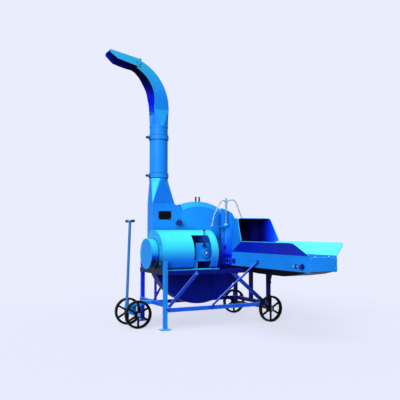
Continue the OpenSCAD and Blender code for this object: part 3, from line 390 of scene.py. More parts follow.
def moulded(name, dark, pale, rough, grain_mm):
    """Moulded rubber or phenolic: even colour, fine mould grain, worn shiny in patches by hands."""
    material, tree, shader = new_material(name, {"IOR": 1.52})
    place = add(tree, "TexCoord")
    grain = add(tree, "TexNoise", None,
                {"Vector": (place, "Object"), "Scale": per_metre(grain_mm), "Detail": 3.0})
    wear = add(tree, "TexNoise", None,
               {"Vector": (place, "Object"), "Scale": per_metre(HAND_WEAR_MM), "Detail": 4.0})
    colour = add(tree, "Mix", COLOUR_MIX, {0: (wear, 0), 6: linear(dark), 7: linear(pale)})
    gloss = add(tree, "MapRange", None, {"Value": (wear, 0), "To Min": rough * 0.7, "To Max": rough * 1.2})
    relief = add(tree, "Bump", None, {"Height": (grain, 0), "Distance": 0.2 * MM, "Strength": 0.3})
    dress(tree, shader, colour, gloss, relief)
    return material


# Tones of the enamel from faces that look down (0), through upright ones (0.5), to faces that look up (1):
# painted shade at the low end, painted light at the high end
BLUE_TONES = [(0.0, "#0818C0"), (0.2, "#0A2CF0"), (0.42, "#1A80FF"), (0.5, "#1C94FF"),
              (0.6, "#2ABEFF"), (0.72, "#34D2FF"), (1.0, "#3CF0FC")]
CYAN_TONES = [(0.0, "#1590E0"), (0.5, "#27C4F0"), (1.0, "#4BE6FF")]
BLACK_TONES = [(0.0, "#030304"), (0.5, "#07070A"), (1.0, "#121318")]

# Darker and paler copies of these colour ramps for single pieces, in the same order: painted light and shade
# set piece by piece
COWL_TONES = [(0.0, "#01020A"), (0.25, "#030A50"), (0.42, "#0C50F0"), (0.5, "#18A2FF"),
              (0.6, "#2CC0FF"), (1.0, "#3CF0FC")]
GUARD_TONES = [(0.0, "#1470FF"), (0.3, "#147AFF"), (0.38, "#1A8CFF"), (0.5, "#2CB8FF"), (0.62, "#3ADEFF"),
               (0.8, "#44F0FF"), (1.0, "#44F4FF")]
COVER_TONES = [(0.0, "#0818C0"), (0.2, "#0A2CF0"), (0.42, "#1A84FF"), (0.5, "#1E9EFF"), (0.6, "#24A8FF"),
               (0.8, "#2AB2FF"), (1.0, "#34CCFF")]
FLARE_TONES = [(0.0, "#0A1CD0"), (0.2, "#0A2CF0"), (0.5, "#2CC8FF"), (0.75, "#64FFFF"), (1.0, "#78FFFF")]
RAIL_TONES = [(0.0, "#081890"), (0.42, "#1448E0"), (0.5, "#1C62F4"), (0.6, "#2070F8"), (1.0, "#2A90F4")]
POST_TONES = [(0.0, "#02052C"), (0.5, "#081272"), (1.0, "#1A3CB0")]
BRACE_TONES = [(0.0, "#04083C"), (0.42, "#0C2498"), (0.5, "#1844D4"), (0.7, "#5C80F0"), (1.0, "#A0B8FF")]
DRAWBAR_TONES = [(0.0, "#1A4C80"), (0.5, "#3680C4"), (1.0, "#5AA8E0")]
BELLY_TONES = [(0.0, "#020848"), (0.5, "#031A94"), (1.0, "#0A34C0")]

FINISH = {
    "blue_paint": enamel("blue_gloss_enamel", BLUE_TONES, EDGE_HIGHLIGHT_BLUE, "#04033C"),
    "cyan_paint": enamel("cyan_gloss_enamel", CYAN_TONES, "#A5F2FF", "#0A2E70"),
    "black_paint": enamel("black_gloss_enamel", BLACK_TONES, "#1C1E24", "#030304", shine=0.06),
    "black_cast_iron": cast_iron("blacked_cast_iron", "#020203", "#060608", "#121317", shine=0.08),
    "grey_cast": cast_iron("grey_cast_iron", "#33383F", "#525962", "#8A9098", metal=0.3),
    "dark_steel": worked_steel("oiled_black_steel", "#1E2024", "#4C5058", 0.4, (1.0, 6.0, 6.0), 4.0),
    "bright_steel": worked_steel("ground_bright_steel", "#8E949A", "#DADDE0", 0.26, (1.0, 6.0, 6.0), 2.5),
    "galvanised_steel": galvanised("hot_dip_zinc", "#8C9196", "#B4B9BD"),
    "black_rubber": moulded("moulded_black_rubber", "#08080A", "#16171A", 0.75, 1.2),
    "dark_blue_plastic": moulded("dark_blue_phenolic", "#05094A", "#0B1484", 0.35, 1.0),
}
SLOT_OF = {part["node"]: part["material_slot"] for part in frame["record"]["subparts"]}

# Painted shade inside the hood, spout and flap: blue near the openings, nearly black further in
HOOD_INSIDE_SHADE = ("Y", 0.06, 0.40, [(0.0, "#1A84FF"), (0.25, "#0E44F4"), (0.45, "#0524DC"), (0.62, "#020C7C"),
                                (0.8, "#05044E"), (1.0, "#07065E")])
SPOUT_INSIDE_SHADE = ("Z", 2.45, 2.90, [(0.0, "#1150FF"), (0.22, "#0B1EF8"), (0.44, "#0F24DE"), (0.64, "#0B0F84"),
                                 (0.84, "#0D1162"), (1.0, "#0A0536")])
FLAP_INSIDE_SHADE = ("X", -1.00, -0.62, [(0.0, "#0C2CE0"), (0.12, "#0B24B8"), (0.3, "#0A1270"), (0.6, "#1A1C96"),
                                  (1.0, "#14148A")])
# Painted shade on the upper rails, darkest on the cross bar under the fan cowl
RAIL_PAINTED_SHADE = ("X", -0.50, -0.42, [(0.0, "#02062E"), (1.0, "#08147C")])
# Painted shade on the brace behind the near rear wheel, darkest at its foot
BRACE_PAINTED_SHADE = ("X", 0.44, 0.74, [(0.0, "#03032C"), (0.02, "#1840C8"), (0.4, "#1030AC"), (1.0, "#060C48")])
# The near cheek's enamel, deeper in colour towards its foot
CHEEK_FOOT_DARKENING = ("Z", 0.66, 0.98, [(0.0, "#0A30FF"), (0.4, "#0C3CFF"), (1.0, "#1A7CFF")])
shaded_post = enamel("shaded_blue_enamel", POST_TONES, "#1A40C0", "#02021C")
# Painted shade inside the motor guard and on the low half of its end plate
guard_painted_shade = [inside_guard, low_on_guard_end]
guard_enamel = enamel("guard_blue_enamel", BLUE_TONES, EDGE_HIGHLIGHT_BLUE, "#010110", guard_painted_shade)
hood_enamel = enamel("hood_blue_enamel", BLUE_TONES, EDGE_HIGHLIGHT_BLUE, HOOD_INSIDE_SHADE, [HOOD_WALLS],
                     shine=0.02, coat=0.0)
spout_enamel = enamel("spout_blue_enamel", BLUE_TONES, EDGE_HIGHLIGHT_BLUE, SPOUT_INSIDE_SHADE, [inside_spout])
flap_enamel = enamel("flap_blue_enamel", BLUE_TONES, EDGE_HIGHLIGHT_BLUE, FLAP_INSIDE_SHADE, [FLAP_WALLS])
cheek_enamel = enamel("cheek_blue_enamel", BLUE_TONES, EDGE_HIGHLIGHT_BLUE, CHEEK_FOOT_DARKENING, [CHEEK_FOOT])
NODE_FINISH = {
    # Painted shade on the back leg
    "frame_legs": enamel("leg_blue_enamel", BLUE_TONES, EDGE_HIGHLIGHT_BLUE, "#0630F0", [BACK_LEG]),
    # Painted shade on the upper rails and on the rails behind the casing
    "frame_rails": enamel("rail_blue_enamel", RAIL_TONES, "#3C8CF8", RAIL_PAINTED_SHADE,
                          [UPPER_RAILS, RAILS_BEHIND_CASING]),
    # Painted shade on the brace behind the near rear wheel, with a pale painted highlight on its upper faces
    "frame_braces": enamel("brace_blue_enamel", BRACE_TONES, "#7C98F4", BRACE_PAINTED_SHADE, [WHEEL_BRACE]),
    "right_posts": shaded_post,
    "casing_arms": shaded_post,
    "drawbar": enamel("drawbar_blue_enamel", DRAWBAR_TONES, "#7CC0F0", "#04144C"),
    # Darker colours and near-black patches of painted shade on the belly
    "lower_casing": enamel("belly_blue_enamel", BELLY_TONES, "#1A50D0", "#010110", guard_painted_shade),
    # Hollows darkened as painted shade over a longer reach, so the cover is dark behind the guard's window
    "upper_cover": enamel("cover_blue_enamel", COVER_TONES, EDGE_HIGHLIGHT_BLUE, "#02084C", reach_mm=260),
    "near_cheek": cheek_enamel,
    "float_blocks": cheek_enamel,
    "roller_bearings": cheek_enamel,
    # Painted highlight: pale cyan on the neck's front corner
    "chute_transition": enamel("neck_blue_enamel", BLUE_TONES, EDGE_HIGHLIGHT_BLUE, "#44E0FF", [lit_neck_corner]),
    # Painted shade: the cowl's lower faces are nearly black
    "fan_cowl": enamel("cowl_blue_enamel", COWL_TONES, EDGE_HIGHLIGHT_BLUE, "#02021C"),
    # Painted light: the flare's upward faces are a near-white cyan
    "far_flare": enamel("flare_blue_enamel", FLARE_TONES, "#8CFFFF", "#04033C"),
    "trough": enamel("trough_blue_enamel", BLUE_TONES, EDGE_HIGHLIGHT_BLUE, "#0616A0",
                     [NEAR_BEARING_SEATS, FAR_BEARING_SEATS]),
    # Lit and shaded barrel colours, a pale edge highlight, and painted shade inside the guard
    "motor_guard": enamel("barrel_blue_enamel", GUARD_TONES, "#7CE4FF", "#010110", guard_painted_shade, reach_mm=40),
    "gearbox": guard_enamel,
    "guard_tray": guard_enamel,
    "hood": hood_enamel,
    "far_cheek": hood_enamel,
    "throat_plate": hood_enamel,
    "spout": spout_enamel,
    "spout_flap": flap_enamel,
}


def finish_cad_nodes():
    """Gives each sub-part its own finish, or else the finish of its slot."""
    for node, piece in frame["nodes"].items():
        piece.data.materials.clear()
        piece.data.materials.append(NODE_FINISH.get(node, FINISH[SLOT_OF[node]]))


# Mesh helpers: shapes are added to a bmesh in metres, in the machine's own frame


def from_mm(points):
    """A lathe profile or outline drawn in millimetres, in metres."""
    return [(first * MM, second * MM) for first, second in points]


def square_to(axis):
    """Two directions square to an axis and to each other."""
    side = axis.orthogonal().normalized()
    return side, axis.cross(side).normalized()


def add_lathe(bm, base, axis, profile, segments=24):
    """Revolves (radius, height) points round an axis; a zero radius closes an end."""
    side, up = square_to(axis)
    rings = []
    for radius, height in profile:
        count = segments if radius else 1
        angles = [math.tau * i / segments for i in range(count)]
        spokes = [(side * math.cos(a) + up * math.sin(a)) * radius for a in angles]
        rings.append([bm.verts.new(base + axis * height + spoke) for spoke in spokes])
    for lower, upper in zip(rings, rings[1:]):
        for i in range(segments):
            j = (i + 1) % segments
            corners = (lower[i % len(lower)], lower[j % len(lower)],
                       upper[j % len(upper)], upper[i % len(upper)])
            bm.faces.new(list(dict.fromkeys(corners)))


def add_tube(bm, points, radii, sides=8, closed=False):
    """Sweeps a round section along points, with one radius for each point."""
    count = len(points)
    rings = []
    side = None
    for i, point in enumerate(points):
        before = points[i - 1] if i or closed else point
        after = points[(i + 1) % count] if i < count - 1 or closed else point
        ahead = (after - before).normalized()
        side = square_to(ahead)[0] if side is None else (side - ahead * side.dot(ahead)).normalized()
        up = ahead.cross(side)
        angles = [math.tau * k / sides for k in range(sides)]
        spokes = [(side * math.cos(a) + up * math.sin(a)) * radii[i] for a in angles]
        rings.append([bm.verts.new(point + spoke) for spoke in spokes])
    pairs = list(zip(rings, rings[1:])) + ([(rings[-1], rings[0])] if closed else [])
    for lower, upper in pairs:
        for k in range(sides):
            n = (k + 1) % sides
            bm.faces.new((lower[k], lower[n], upper[n], upper[k]))
    if not closed:
        bm.faces.new(rings[0][::-1])
        bm.faces.new(rings[-1])


def add_bar(bm, outline, along, length):
    """Extrudes a closed outline of points by a length along a direction."""
    near = [bm.verts.new(point) for point in outline]
    far = [bm.verts.new(point + along * length) for point in outline]
    bm.faces.new(near)
    bm.faces.new(far[::-1])
    for i, corner in enumerate(near):
        j = (i + 1) % len(near)
        bm.faces.new((corner, far[i], far[j], near[j]))


def add_strip(bm, first, second, along, thick):
    """Plate between two edge lines, with a thickness along a direction."""
    rings = []
    for a, b in zip(first, second):
        rings.append([bm.verts.new(point) for point in (a, b, b + along * thick, a + along * thick)])
    for lower, upper in zip(rings, rings[1:]):
        for k in range(4):
            n = (k + 1) % 4
            bm.faces.new((lower[k], lower[n], upper[n], upper[k]))
    bm.faces.new(rings[0][::-1])
    bm.faces.new(rings[-1])


def add_bolt(bm, seat, axis, across):
    """Hexagon head with a chamfered top, on a plain washer."""
    washer = across * 0.95
    washer_top = across * 0.12
    add_lathe(bm, seat, axis, [(0, 0), (washer, 0), (washer, washer_top), (0, washer_top)])
    corner = across / math.sqrt(3)
    top = across * 0.75
    chamfer = 0.86
    head = [(0, 0), (corner, 0), (corner, top * chamfer), (corner * chamfer, top), (0, top)]
    add_lathe(bm, seat, axis, head, 6)


def add_dome(bm, seat, axis, radius):
    """Round rivet or carriage-bolt head."""
    height = radius * 0.6
    slopes = [math.radians(18 * i) for i in range(5)]
    curve = [(radius * math.cos(a), height * math.sin(a)) for a in slopes]
    add_lathe(bm, seat, axis, [(0, 0)] + curve + [(0, height)], 16)


def eased(points, radius, steps=6):
    """The same path with its corners rounded off."""
    path = [points[0]]
    for before, corner, after in zip(points, points[1:], points[2:]):
        back = before - corner
        ahead = after - corner
        cut = min(radius, back.length * 0.45, ahead.length * 0.45)
        start = corner + back.normalized() * cut
        end = corner + ahead.normalized() * cut
        for i in range(steps + 1):
            share = i / steps
            path.append(start.lerp(corner, share).lerp(corner.lerp(end, share), share))
    return path + [points[-1]]


def spaced(points, step, closed=False):
    """Points about one step apart along a path."""
    ends = points + ([points[0]] if closed else [])
    path = []
    for start, end in zip(ends, ends[1:]):
        count = max(1, round((end - start).length / step))
        path += [start.lerp(end, i / count) for i in range(count)]
    return path if closed else path + [ends[-1]]


def make_piece(name, bm, slot, body, crease=35, finish=None):
    """Closes a bmesh into a shaded piece that takes a finish and rides a body."""
    bmesh.ops.remove_doubles(bm, verts=bm.verts, dist=0.01 * MM)
    bmesh.ops.recalc_face_normals(bm, faces=bm.faces)
    mesh = bpy.data.meshes.new(name)
    bm.to_mesh(mesh)
    bm.free()
    mesh.shade_smooth()
    mesh.set_sharp_from_angle(angle=math.radians(crease))
    mesh.materials.append(finish or FINISH[slot])
    piece = bpy.data.objects.new(name, mesh)
    scene.collection.objects.link(piece)
    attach(piece, body)
    return piece


# Feed head: pressing spring and bail

ROD_X = 0.380
ROLLER_Y = 0.470
SPRING_WIRE = 2.6 * MM
SPRING_TURNS = 17
BAIL_BAR = 6 * MM
BAIL_BEND = 30 * MM
BAIL_DIP = (380, 1395)
BAIL_XZ = [(188, 1107), (214, 1238), (300, 1381), (335, 1415), BAIL_DIP, (425, 1415), (480, 1420),
           (514, 1393), (600, 1191)]
BAIL_EYE = from_mm([(9.6, -8), (17, -8), (19, -6), (19, 6), (17, 8), (9.6, 8), (9.6, -8)])
BAIL_FOOT = from_mm([(0, 0), (14, 0), (14, 6), (11, 9), (0, 9)])


def wind_spring():
    """Round-wire pressing spring with a closed turn at each end."""
    low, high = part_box("spring")
    coil = (high.x - low.x) / 2 - SPRING_WIRE
    foot = low.z + SPRING_WIRE
    free = high.z - low.z - 2 * SPRING_WIRE
    steps = 24
    closed_share = 2 * SPRING_WIRE / free
    points = []
    for i in range(SPRING_TURNS * steps + 1):
        turn = i / steps
        middle = (turn - 1) / (SPRING_TURNS - 2)
        if turn < 1:
            rise = closed_share * turn
        elif turn > SPRING_TURNS - 1:
            rise = 1 - closed_share * (SPRING_TURNS - turn)
        else:
            rise = closed_share + (1 - 2 * closed_share) * middle
        angle = math.tau * turn
        points.append(Vector((ROD_X + coil * math.cos(angle), ROLLER_Y + coil * math.sin(angle),
                              foot + free * rise)))
    bm = bmesh.new()
    add_tube(bm, points, [SPRING_WIRE] * len(points), 10)
    spring = make_piece("pressing_spring", bm, "bright_steel", "base", 60)
    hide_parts("spring")
    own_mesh(spring)


def bend_bail():
    """Bent round bar over the feed head, with a welded eye for the rod and a round foot at each end."""
    corners = [Vector((x * MM, ROLLER_Y, z * MM)) for x, z in BAIL_XZ]
    path = eased(corners, BAIL_BEND)
    bm = bmesh.new()
    add_tube(bm, path, [BAIL_BAR] * len(path), 14)
    add_lathe(bm, Vector((ROD_X, ROLLER_Y, BAIL_DIP[1] * MM)), Z_AXIS, BAIL_EYE, 32)
    for end in (corners[0], corners[-1]):
        add_lathe(bm, end, Z_AXIS, BAIL_FOOT)
    bail = make_piece("bent_bail", bm, "galvanised_steel", "base", 50)
    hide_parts("bail")


# Feed table: chains, slats and rolled edges

HEAD_Y = 0.350
TAIL_Y = -0.925
LOOP_Z = 0.704
CHAIN_LINE = 40 * MM
CHAIN_PITCH = 38 * MM
STRAND_INSET = 28 * MM
LINK_END = 6 * MM
LINK_PLATE = 2.5 * MM
INNER_PLATE_X = 5.5 * MM
OUTER_PLATE_X = 8.5 * MM
LINK_PIN = from_mm([(0, 0), (2.6, 0), (2.6, 20), (0, 20)])
LINK_ROLLER = from_mm([(0, 0), (4.6, 0), (4.6, 8), (0, 8)])
SLAT_COUNT = 12
SLAT_LIFT = 6.5 * MM
SLAT_WALL = 3 * MM
SLAT_SECTION = from_mm([(-13, 0), (10, 0), (13, 3), (13, 11), (10, 11), (10, 3), (-13, 3)])
SLAT_RIVET = 4.5 * MM


def chain_point(x, along):
    """Point on the chain's pitch line, measured from the tail along the carrying run."""
    run = HEAD_Y - TAIL_Y
    bend = math.pi * CHAIN_LINE
    along %= 2 * (run + bend)
    if along < run:
        return Vector((x, TAIL_Y + along, LOOP_Z + CHAIN_LINE))
    if along < run + bend:
        angle = (along - run) / CHAIN_LINE
        return Vector((x, HEAD_Y + CHAIN_LINE * math.sin(angle), LOOP_Z + CHAIN_LINE * math.cos(angle)))
    if along < 2 * run + bend:
        return Vector((x, HEAD_Y - (along - run - bend), LOOP_Z - CHAIN_LINE))
    angle = (along - 2 * run - bend) / CHAIN_LINE
    return Vector((x, TAIL_Y - CHAIN_LINE * math.sin(angle), LOOP_Z - CHAIN_LINE * math.cos(angle)))


def add_link(bm, first, second, outer):
    """One chain link: two round-ended side plates, and a roller on its first pin."""
    ahead = (second - first).normalized()
    up = X_AXIS.cross(ahead)
    outline = []
    for centre, start in ((first, 90), (second, -90)):
        for i in range(7):
            angle = math.radians(start + 30 * i)
            outline.append(centre + ahead * LINK_END * math.cos(angle) + up * LINK_END * math.sin(angle))
    offset = OUTER_PLATE_X if outer else INNER_PLATE_X
    for side in (-1, 1):
        shift = X_AXIS * (side * offset - LINK_PLATE / 2)
        add_bar(bm, [point + shift for point in outline], X_AXIS, LINK_PLATE)
    for profile, sides in ((LINK_PIN, 8), (LINK_ROLLER, 12)):
        half = profile[-1][1] / 2
        add_lathe(bm, first - X_AXIS * half, X_AXIS, profile, sides)


def build_apron():
    """Two roller chains that carry rolled-angle slats along the bed and back under it."""
    low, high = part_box("apron")
    strands = (low.x + STRAND_INSET, high.x - STRAND_INSET)
    length = 2 * (HEAD_Y - TAIL_Y + math.pi * CHAIN_LINE)
    links = 2 * round(length / CHAIN_PITCH / 2)
    pitch = length / links
    bm = bmesh.new()
    for x in strands:
        for i in range(links):
            add_link(bm, chain_point(x, i * pitch), chain_point(x, (i + 1) * pitch), i % 2)
    chains = make_piece("apron_chains", bm, "dark_steel", "base")
    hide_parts("apron")
    bm = bmesh.new()
    step = (HEAD_Y - TAIL_Y) / (SLAT_COUNT - 1)
    for run, count, start in ((1, SLAT_COUNT, 0.0), (-1, SLAT_COUNT - 1, 0.5)):
        for i in range(count):
            base = Vector((low.x, TAIL_Y + (i + start) * step, LOOP_Z + run * (CHAIN_LINE + SLAT_LIFT)))
            outline = [base + Y_AXIS * run * y + Z_AXIS * run * z for y, z in SLAT_SECTION]
            add_bar(bm, outline, X_AXIS, high.x - low.x)
            for x in strands:
                seat = Vector((x, base.y - run * 3 * MM, base.z + run * SLAT_WALL))
                add_dome(bm, seat, Z_AXIS * run, SLAT_RIVET)
    make_piece("apron_slats", bm, "dark_steel", "base")


# Free rims of the sheet metal, in millimetres
RIMS = {
    "near_flare": [(420, -1025, 808), (330, -885, 932), (330, 56, 932)],
    "far_flare": [(755, -1025, 808), (845, -1025, 932), (845, 56, 932)],
    "hood_mouth": [(332.5, 60, 939), (365, 190, 1195), (810, 190, 1195), (842.5, 60, 939)],
}
RIM_WIRE = 4 * MM
RIM_BEND = 45 * MM


def roll_edges():
    """Wired edges along the free rims of the flared walls and the hood's mouth."""
    bm = bmesh.new()
    for path in RIMS.values():
        rim = eased([Vector(point) * MM for point in path], RIM_BEND)
        add_tube(bm, rim, [RIM_WIRE] * len(rim), 10)
    make_piece("wired_rims", bm, "blue_paint", "base", 60)


# Frame: weld beads where the tubes meet, and the tube of the table's stay

TUBE = 40 * MM
UPPER_RAIL_H = 48 * MM
UPPER_RAIL_Z = 0.599
CROSS_BAR_X = -0.490
CROSS_BAR_Z = 0.255
POST_BAR_Z = 0.595
FOOT_PLATE = 8 * MM
BEAD = 3.2 * MM
BEAD_STEP = 7 * MM
STAY_TUBE = 12 * MM
STAY_ENDS = (Vector((0.413, -0.142, 0.715)), Vector((0.035, 0.208, 0.222)))
STAY_SHOWN = (0.03, 0.97)


def add_bead(bm, corners, closed=True):
    """Rippled fillet weld along a path of corners."""
    path = spaced([Vector(corner) for corner in corners], BEAD_STEP, closed)
    radii = [BEAD * (1.12 if i % 2 else 0.88) for i in range(len(path))]
    add_tube(bm, path, radii, 6, closed)


def ring_round(place, axis, width, height):
    """Corners of the outline of a square tube's end that looks along an axis."""
    sides = {"x": (Y_AXIS, Z_AXIS), "y": (X_AXIS, Z_AXIS), "z": (X_AXIS, Y_AXIS)}[axis]
    signs = ((-1, -1), (1, -1), (1, 1), (-1, 1))
    return [place + sides[0] * a * width / 2 + sides[1] * b * height / 2 for a, b in signs]


def weld_frame():
    """Beads round both ends of the rails and cross bars, and round the foot of each leg."""
    legs = [Vector(mount["pos_m"]) for mount in frame["record"]["mounts"]]
    post_low, post_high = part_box("right_posts")
    post_x = (post_low.x + post_high.x) / 2
    rail_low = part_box("frame_rails")[0]
    low_z = rail_low.z + TUBE / 2
    cross_bars = ((CROSS_BAR_X, CROSS_BAR_Z, TUBE), (CROSS_BAR_X, UPPER_RAIL_Z, UPPER_RAIL_H),
                  (post_x, low_z, TUBE), (post_x, POST_BAR_Z, TUBE))
    bm = bmesh.new()
    for leg in legs:
        for z, height in ((low_z, TUBE), (UPPER_RAIL_Z, UPPER_RAIL_H)):
            add_bead(bm, ring_round(Vector((leg.x + TUBE / 2, leg.y, z)), "x", TUBE, height))
            add_bead(bm, ring_round(Vector((post_x - TUBE / 2, leg.y, z)), "x", TUBE, height))
        add_bead(bm, ring_round(Vector((leg.x, leg.y, FOOT_PLATE)), "z", TUBE, TUBE))
    for y, side in ((legs[0].y, 1), (legs[1].y, -1)):
        for x, z, height in cross_bars:
            add_bead(bm, ring_round(Vector((x, y + side * TUBE / 2, z)), "y", TUBE, height))
    make_piece("frame_weld_beads", bm, "blue_paint", "base", 60)


def sleeve_table_stay():
    """Painted tube round the rod that stays the feed table from the front rail."""
    top, foot = STAY_ENDS
    bm = bmesh.new()
    add_tube(bm, [top.lerp(foot, share) for share in STAY_SHOWN], [STAY_TUBE] * 2, 20)
    make_piece("table_stay_tube", bm, "blue_paint", "base", 50, NODE_FINISH["frame_braces"])


# Spout: folded lips along its open side, and the fittings of the pipe joints and the cover

PIPE_X = -0.371
PIPE_Y = 0.745
PIPE_R = 0.106
CLAMP_Z = (1.690, 2.136)
CLAMP_HALF = 25 * MM
EAR_CAP = from_mm([(-49, -9), (-45, -13), (-12, -13), (-12, 13), (-45, 13), (-49, 9)])
EAR_CAP_THICK = 10 * MM
EAR_APART = 12 * MM
LIP_ARC = (-0.848, 2.553)
LIP_R = 0.3942
LIP_ANGLES = (-11.7, 58.0)
LIP_STEPS = 40
LIP_WIRE = 3.2 * MM
LIP_SHEET = 4 * MM
CHANNEL_Y = (0.665, 0.825)
FAR_LIP = 26 * MM
FAR_LIP_ROOT = 2 * MM
FLAP_CHEEK_Y = 0.829
FLAP_EDGE = [(-366, -30), (-266, -76), (-137, -83), (6, -92)]
FLAP_LIP = [4, 20, 22, 10]
LIFTING_PINS = (0.116, 0.163)
LIFTING_PIN_Z = 1.404
PIN_SLEEVE = from_mm([(0, 0), (10, 0), (10, 54), (8, 58), (0, 58)])
SEAL_CORD = 3.0 * MM
SEAL_STEPS = 96
# Dark rings that stand for the lines of shade at each clamp band's edges
SHADE_LINE_SEALS = [("lower_seal_below", CLAMP_Z[0], -1, "base"), ("lower_seal_above", CLAMP_Z[0], 1, "base"),
         ("swivel_seal_below", CLAMP_Z[1], -1, "base"), ("swivel_seal_above", CLAMP_Z[1], 1, "spout")]


def lip_line(angles, y, inset):
    """Points along the spout's free edge, set in from it by one distance for each angle."""
    return [Vector((LIP_ARC[0] + (LIP_R - d) * math.cos(a), y, LIP_ARC[1] + (LIP_R - d) * math.sin(a)))
            for a, d in zip(angles, inset)]


def fold_spout_lips():
    """Wired edge on the near side plate; the far plate has a deeper lip that turns the chaff down."""
    first, last = LIP_ANGLES
    shares = [i / LIP_STEPS for i in range(LIP_STEPS + 1)]
    angles = [math.radians(first + (last - first) * share) for share in shares]
    near, far = CHANNEL_Y
    bm = bmesh.new()
    add_tube(bm, lip_line(angles, near + LIP_SHEET / 2, [0] * len(angles)), [LIP_WIRE] * len(angles), 10)
    make_piece("spout_near_lip", bm, "blue_paint", "spout", 60)
    depth = [FAR_LIP_ROOT + FAR_LIP * min(1, 4 * share, 3 * (1 - share)) for share in shares]
    root = lip_line(angles, far - LIP_SHEET, [-1 * MM] * len(angles))
    bm = bmesh.new()
    add_strip(bm, root, lip_line(angles, far - LIP_SHEET, depth), Y_AXIS, LIP_SHEET)
    make_piece("spout_far_lip", bm, "blue_paint", "spout", 60, spout_enamel)
    ahead = Vector((FLAP_UP.z, 0.0, -FLAP_UP.x))
    edge = [FLAP_PIN + ahead * x * MM + FLAP_UP * z * MM + Y_AXIS * FLAP_CHEEK_Y for x, z in FLAP_EDGE]
    drop = [edge[i] - FLAP_UP * d * MM for i, d in enumerate(FLAP_LIP)]
    bm = bmesh.new()
    add_strip(bm, [point + FLAP_UP * MM for point in edge], drop, Y_AXIS, LIP_SHEET)
    make_piece("flap_far_lip", bm, "blue_paint", "flap", 30, flap_enamel)


def blacken_clamps():
    """Black oxide caps on the bolt ears of both clamps."""
    bm = bmesh.new()
    for z in CLAMP_Z:
        for side in (-1, 1):
            middle = Vector((PIPE_X - PIPE_R, PIPE_Y + side * EAR_APART - EAR_CAP_THICK / 2, z))
            outline = [middle + X_AXIS * out + Z_AXIS * up for out, up in EAR_CAP]
            add_bar(bm, outline, Y_AXIS, EAR_CAP_THICK)
    make_piece("clamp_ear_caps", bm, "black_paint", "base")


def sleeve_lifting_pins():
    """Rubber sleeves on the cover's two lifting pins."""
    bm = bmesh.new()
    for x in LIFTING_PINS:
        add_lathe(bm, Vector((x, PIPE_Y, LIFTING_PIN_Z)), Z_AXIS, PIN_SLEEVE, 20)
    make_piece("lifting_pin_sleeves", bm, "black_rubber", "cover", 50)


def fit_shade_line_seals():
    """Black rubber rings above and below each clamp band, put there as painted shade: they draw the dark
    lines of shade at the band's edges.
    """
    radius = PIPE_R + SEAL_CORD / 2
    angles = [math.tau * i / SEAL_STEPS for i in range(SEAL_STEPS)]
    for name, z, sign, body in SHADE_LINE_SEALS:
        bm = bmesh.new()
        level = z + sign * (CLAMP_HALF + SEAL_CORD + 0.5 * MM)
        ring = [Vector((PIPE_X + radius * math.cos(a), PIPE_Y + radius * math.sin(a), level)) for a in angles]
        add_tube(bm, ring, [SEAL_CORD] * SEAL_STEPS, 10, closed=True)
        make_piece(name, bm, "black_rubber", body, 60)


# Small fasteners

BRACE_BOLT = 16 * MM
SHEET_BOLT = 11 * MM
BEARING_BOLT = 9 * MM
FLAP_BOLT = 8 * MM
PLATE_RIVET = 3.6 * MM
PLATE_RIVET_INSET = 9 * MM
KNOB_SCREW = 8 * MM
KNOB_Z = 1.150
TABLE_END_Y = -1.029
TABLE_END_BOLTS = [(x, TABLE_END_Y, z) for x in (0.440, 0.735) for z in (0.682, 0.774)]
TABLE_END_HEADS = [(x, TABLE_END_Y + 20 * MM, 0.803) for x in (0.495, 0.670)]
TABLE_END_HEAD = 10 * MM
TABLE_SIDE_YZ = [(0.394, 0.676), (0.394, 0.736), (0.394, 0.794), (-0.560, 0.790), (0.180, 0.790)]
BRACE_BOLTS = [(-0.486, 0.206, 0.236), (-0.149, 0.206, 0.582)]
CAP_PLUG = (0.038, 0.319, 0.802)
CAP_PLUG_R = 13 * MM
BEARING_CENTRE = (FEED_X[0] - 24 * MM, 0.470, 0.700)
BEARING_CIRCLE = 33 * MM
GUARD_END_CIRCLE = 0.215
FLAP_BOLTS_XZ = [(-0.6485, 2.952), (-0.681, 2.974)]


def round_circle(centre, radius, degrees):
    """Places on a bolt circle that looks along X, at the given turns."""
    turns = [math.radians(turn) for turn in degrees]
    return [Vector(centre) + Vector((0, math.cos(a), math.sin(a))) * radius for a in turns]


def bolt_sheets():
    """Painted bolts of the feed table, braces, guard's end plate and roller bearing."""
    bm = bmesh.new()
    for x, out in ((FEED_X[0], -X_AXIS), (FEED_X[1], X_AXIS)):
        for y, z in TABLE_SIDE_YZ:
            add_bolt(bm, Vector((x, y, z)), out, SHEET_BOLT)
    for place in TABLE_END_BOLTS:
        add_bolt(bm, Vector(place), -Y_AXIS, SHEET_BOLT)
    for place in BRACE_BOLTS:
        add_bolt(bm, Vector(place), -Y_AXIS, BRACE_BOLT)
    for place in round_circle((GUARD_END, *MOTOR_LINE), GUARD_END_CIRCLE, (-30, 30, 90, 150, 210)):
        add_bolt(bm, place, -X_AXIS, SHEET_BOLT)
    for place in round_circle(BEARING_CENTRE, BEARING_CIRCLE, (45, 135, 225, 315)):
        add_bolt(bm, place, -X_AXIS, BEARING_BOLT)
    make_piece("painted_bolts", bm, "blue_paint", "base")


def rivet_plate():
    """A rivet in each corner of the bare black plate."""
    bm = bmesh.new()
    low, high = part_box("blank_plate")
    for x in (low.x + PLATE_RIVET_INSET, high.x - PLATE_RIVET_INSET):
        for z in (low.z + PLATE_RIVET_INSET, high.z - PLATE_RIVET_INSET):
            add_dome(bm, Vector((x, low.y, z)), -Y_AXIS, PLATE_RIVET)
    make_piece("plate_rivets", bm, "bright_steel", "base", 50)


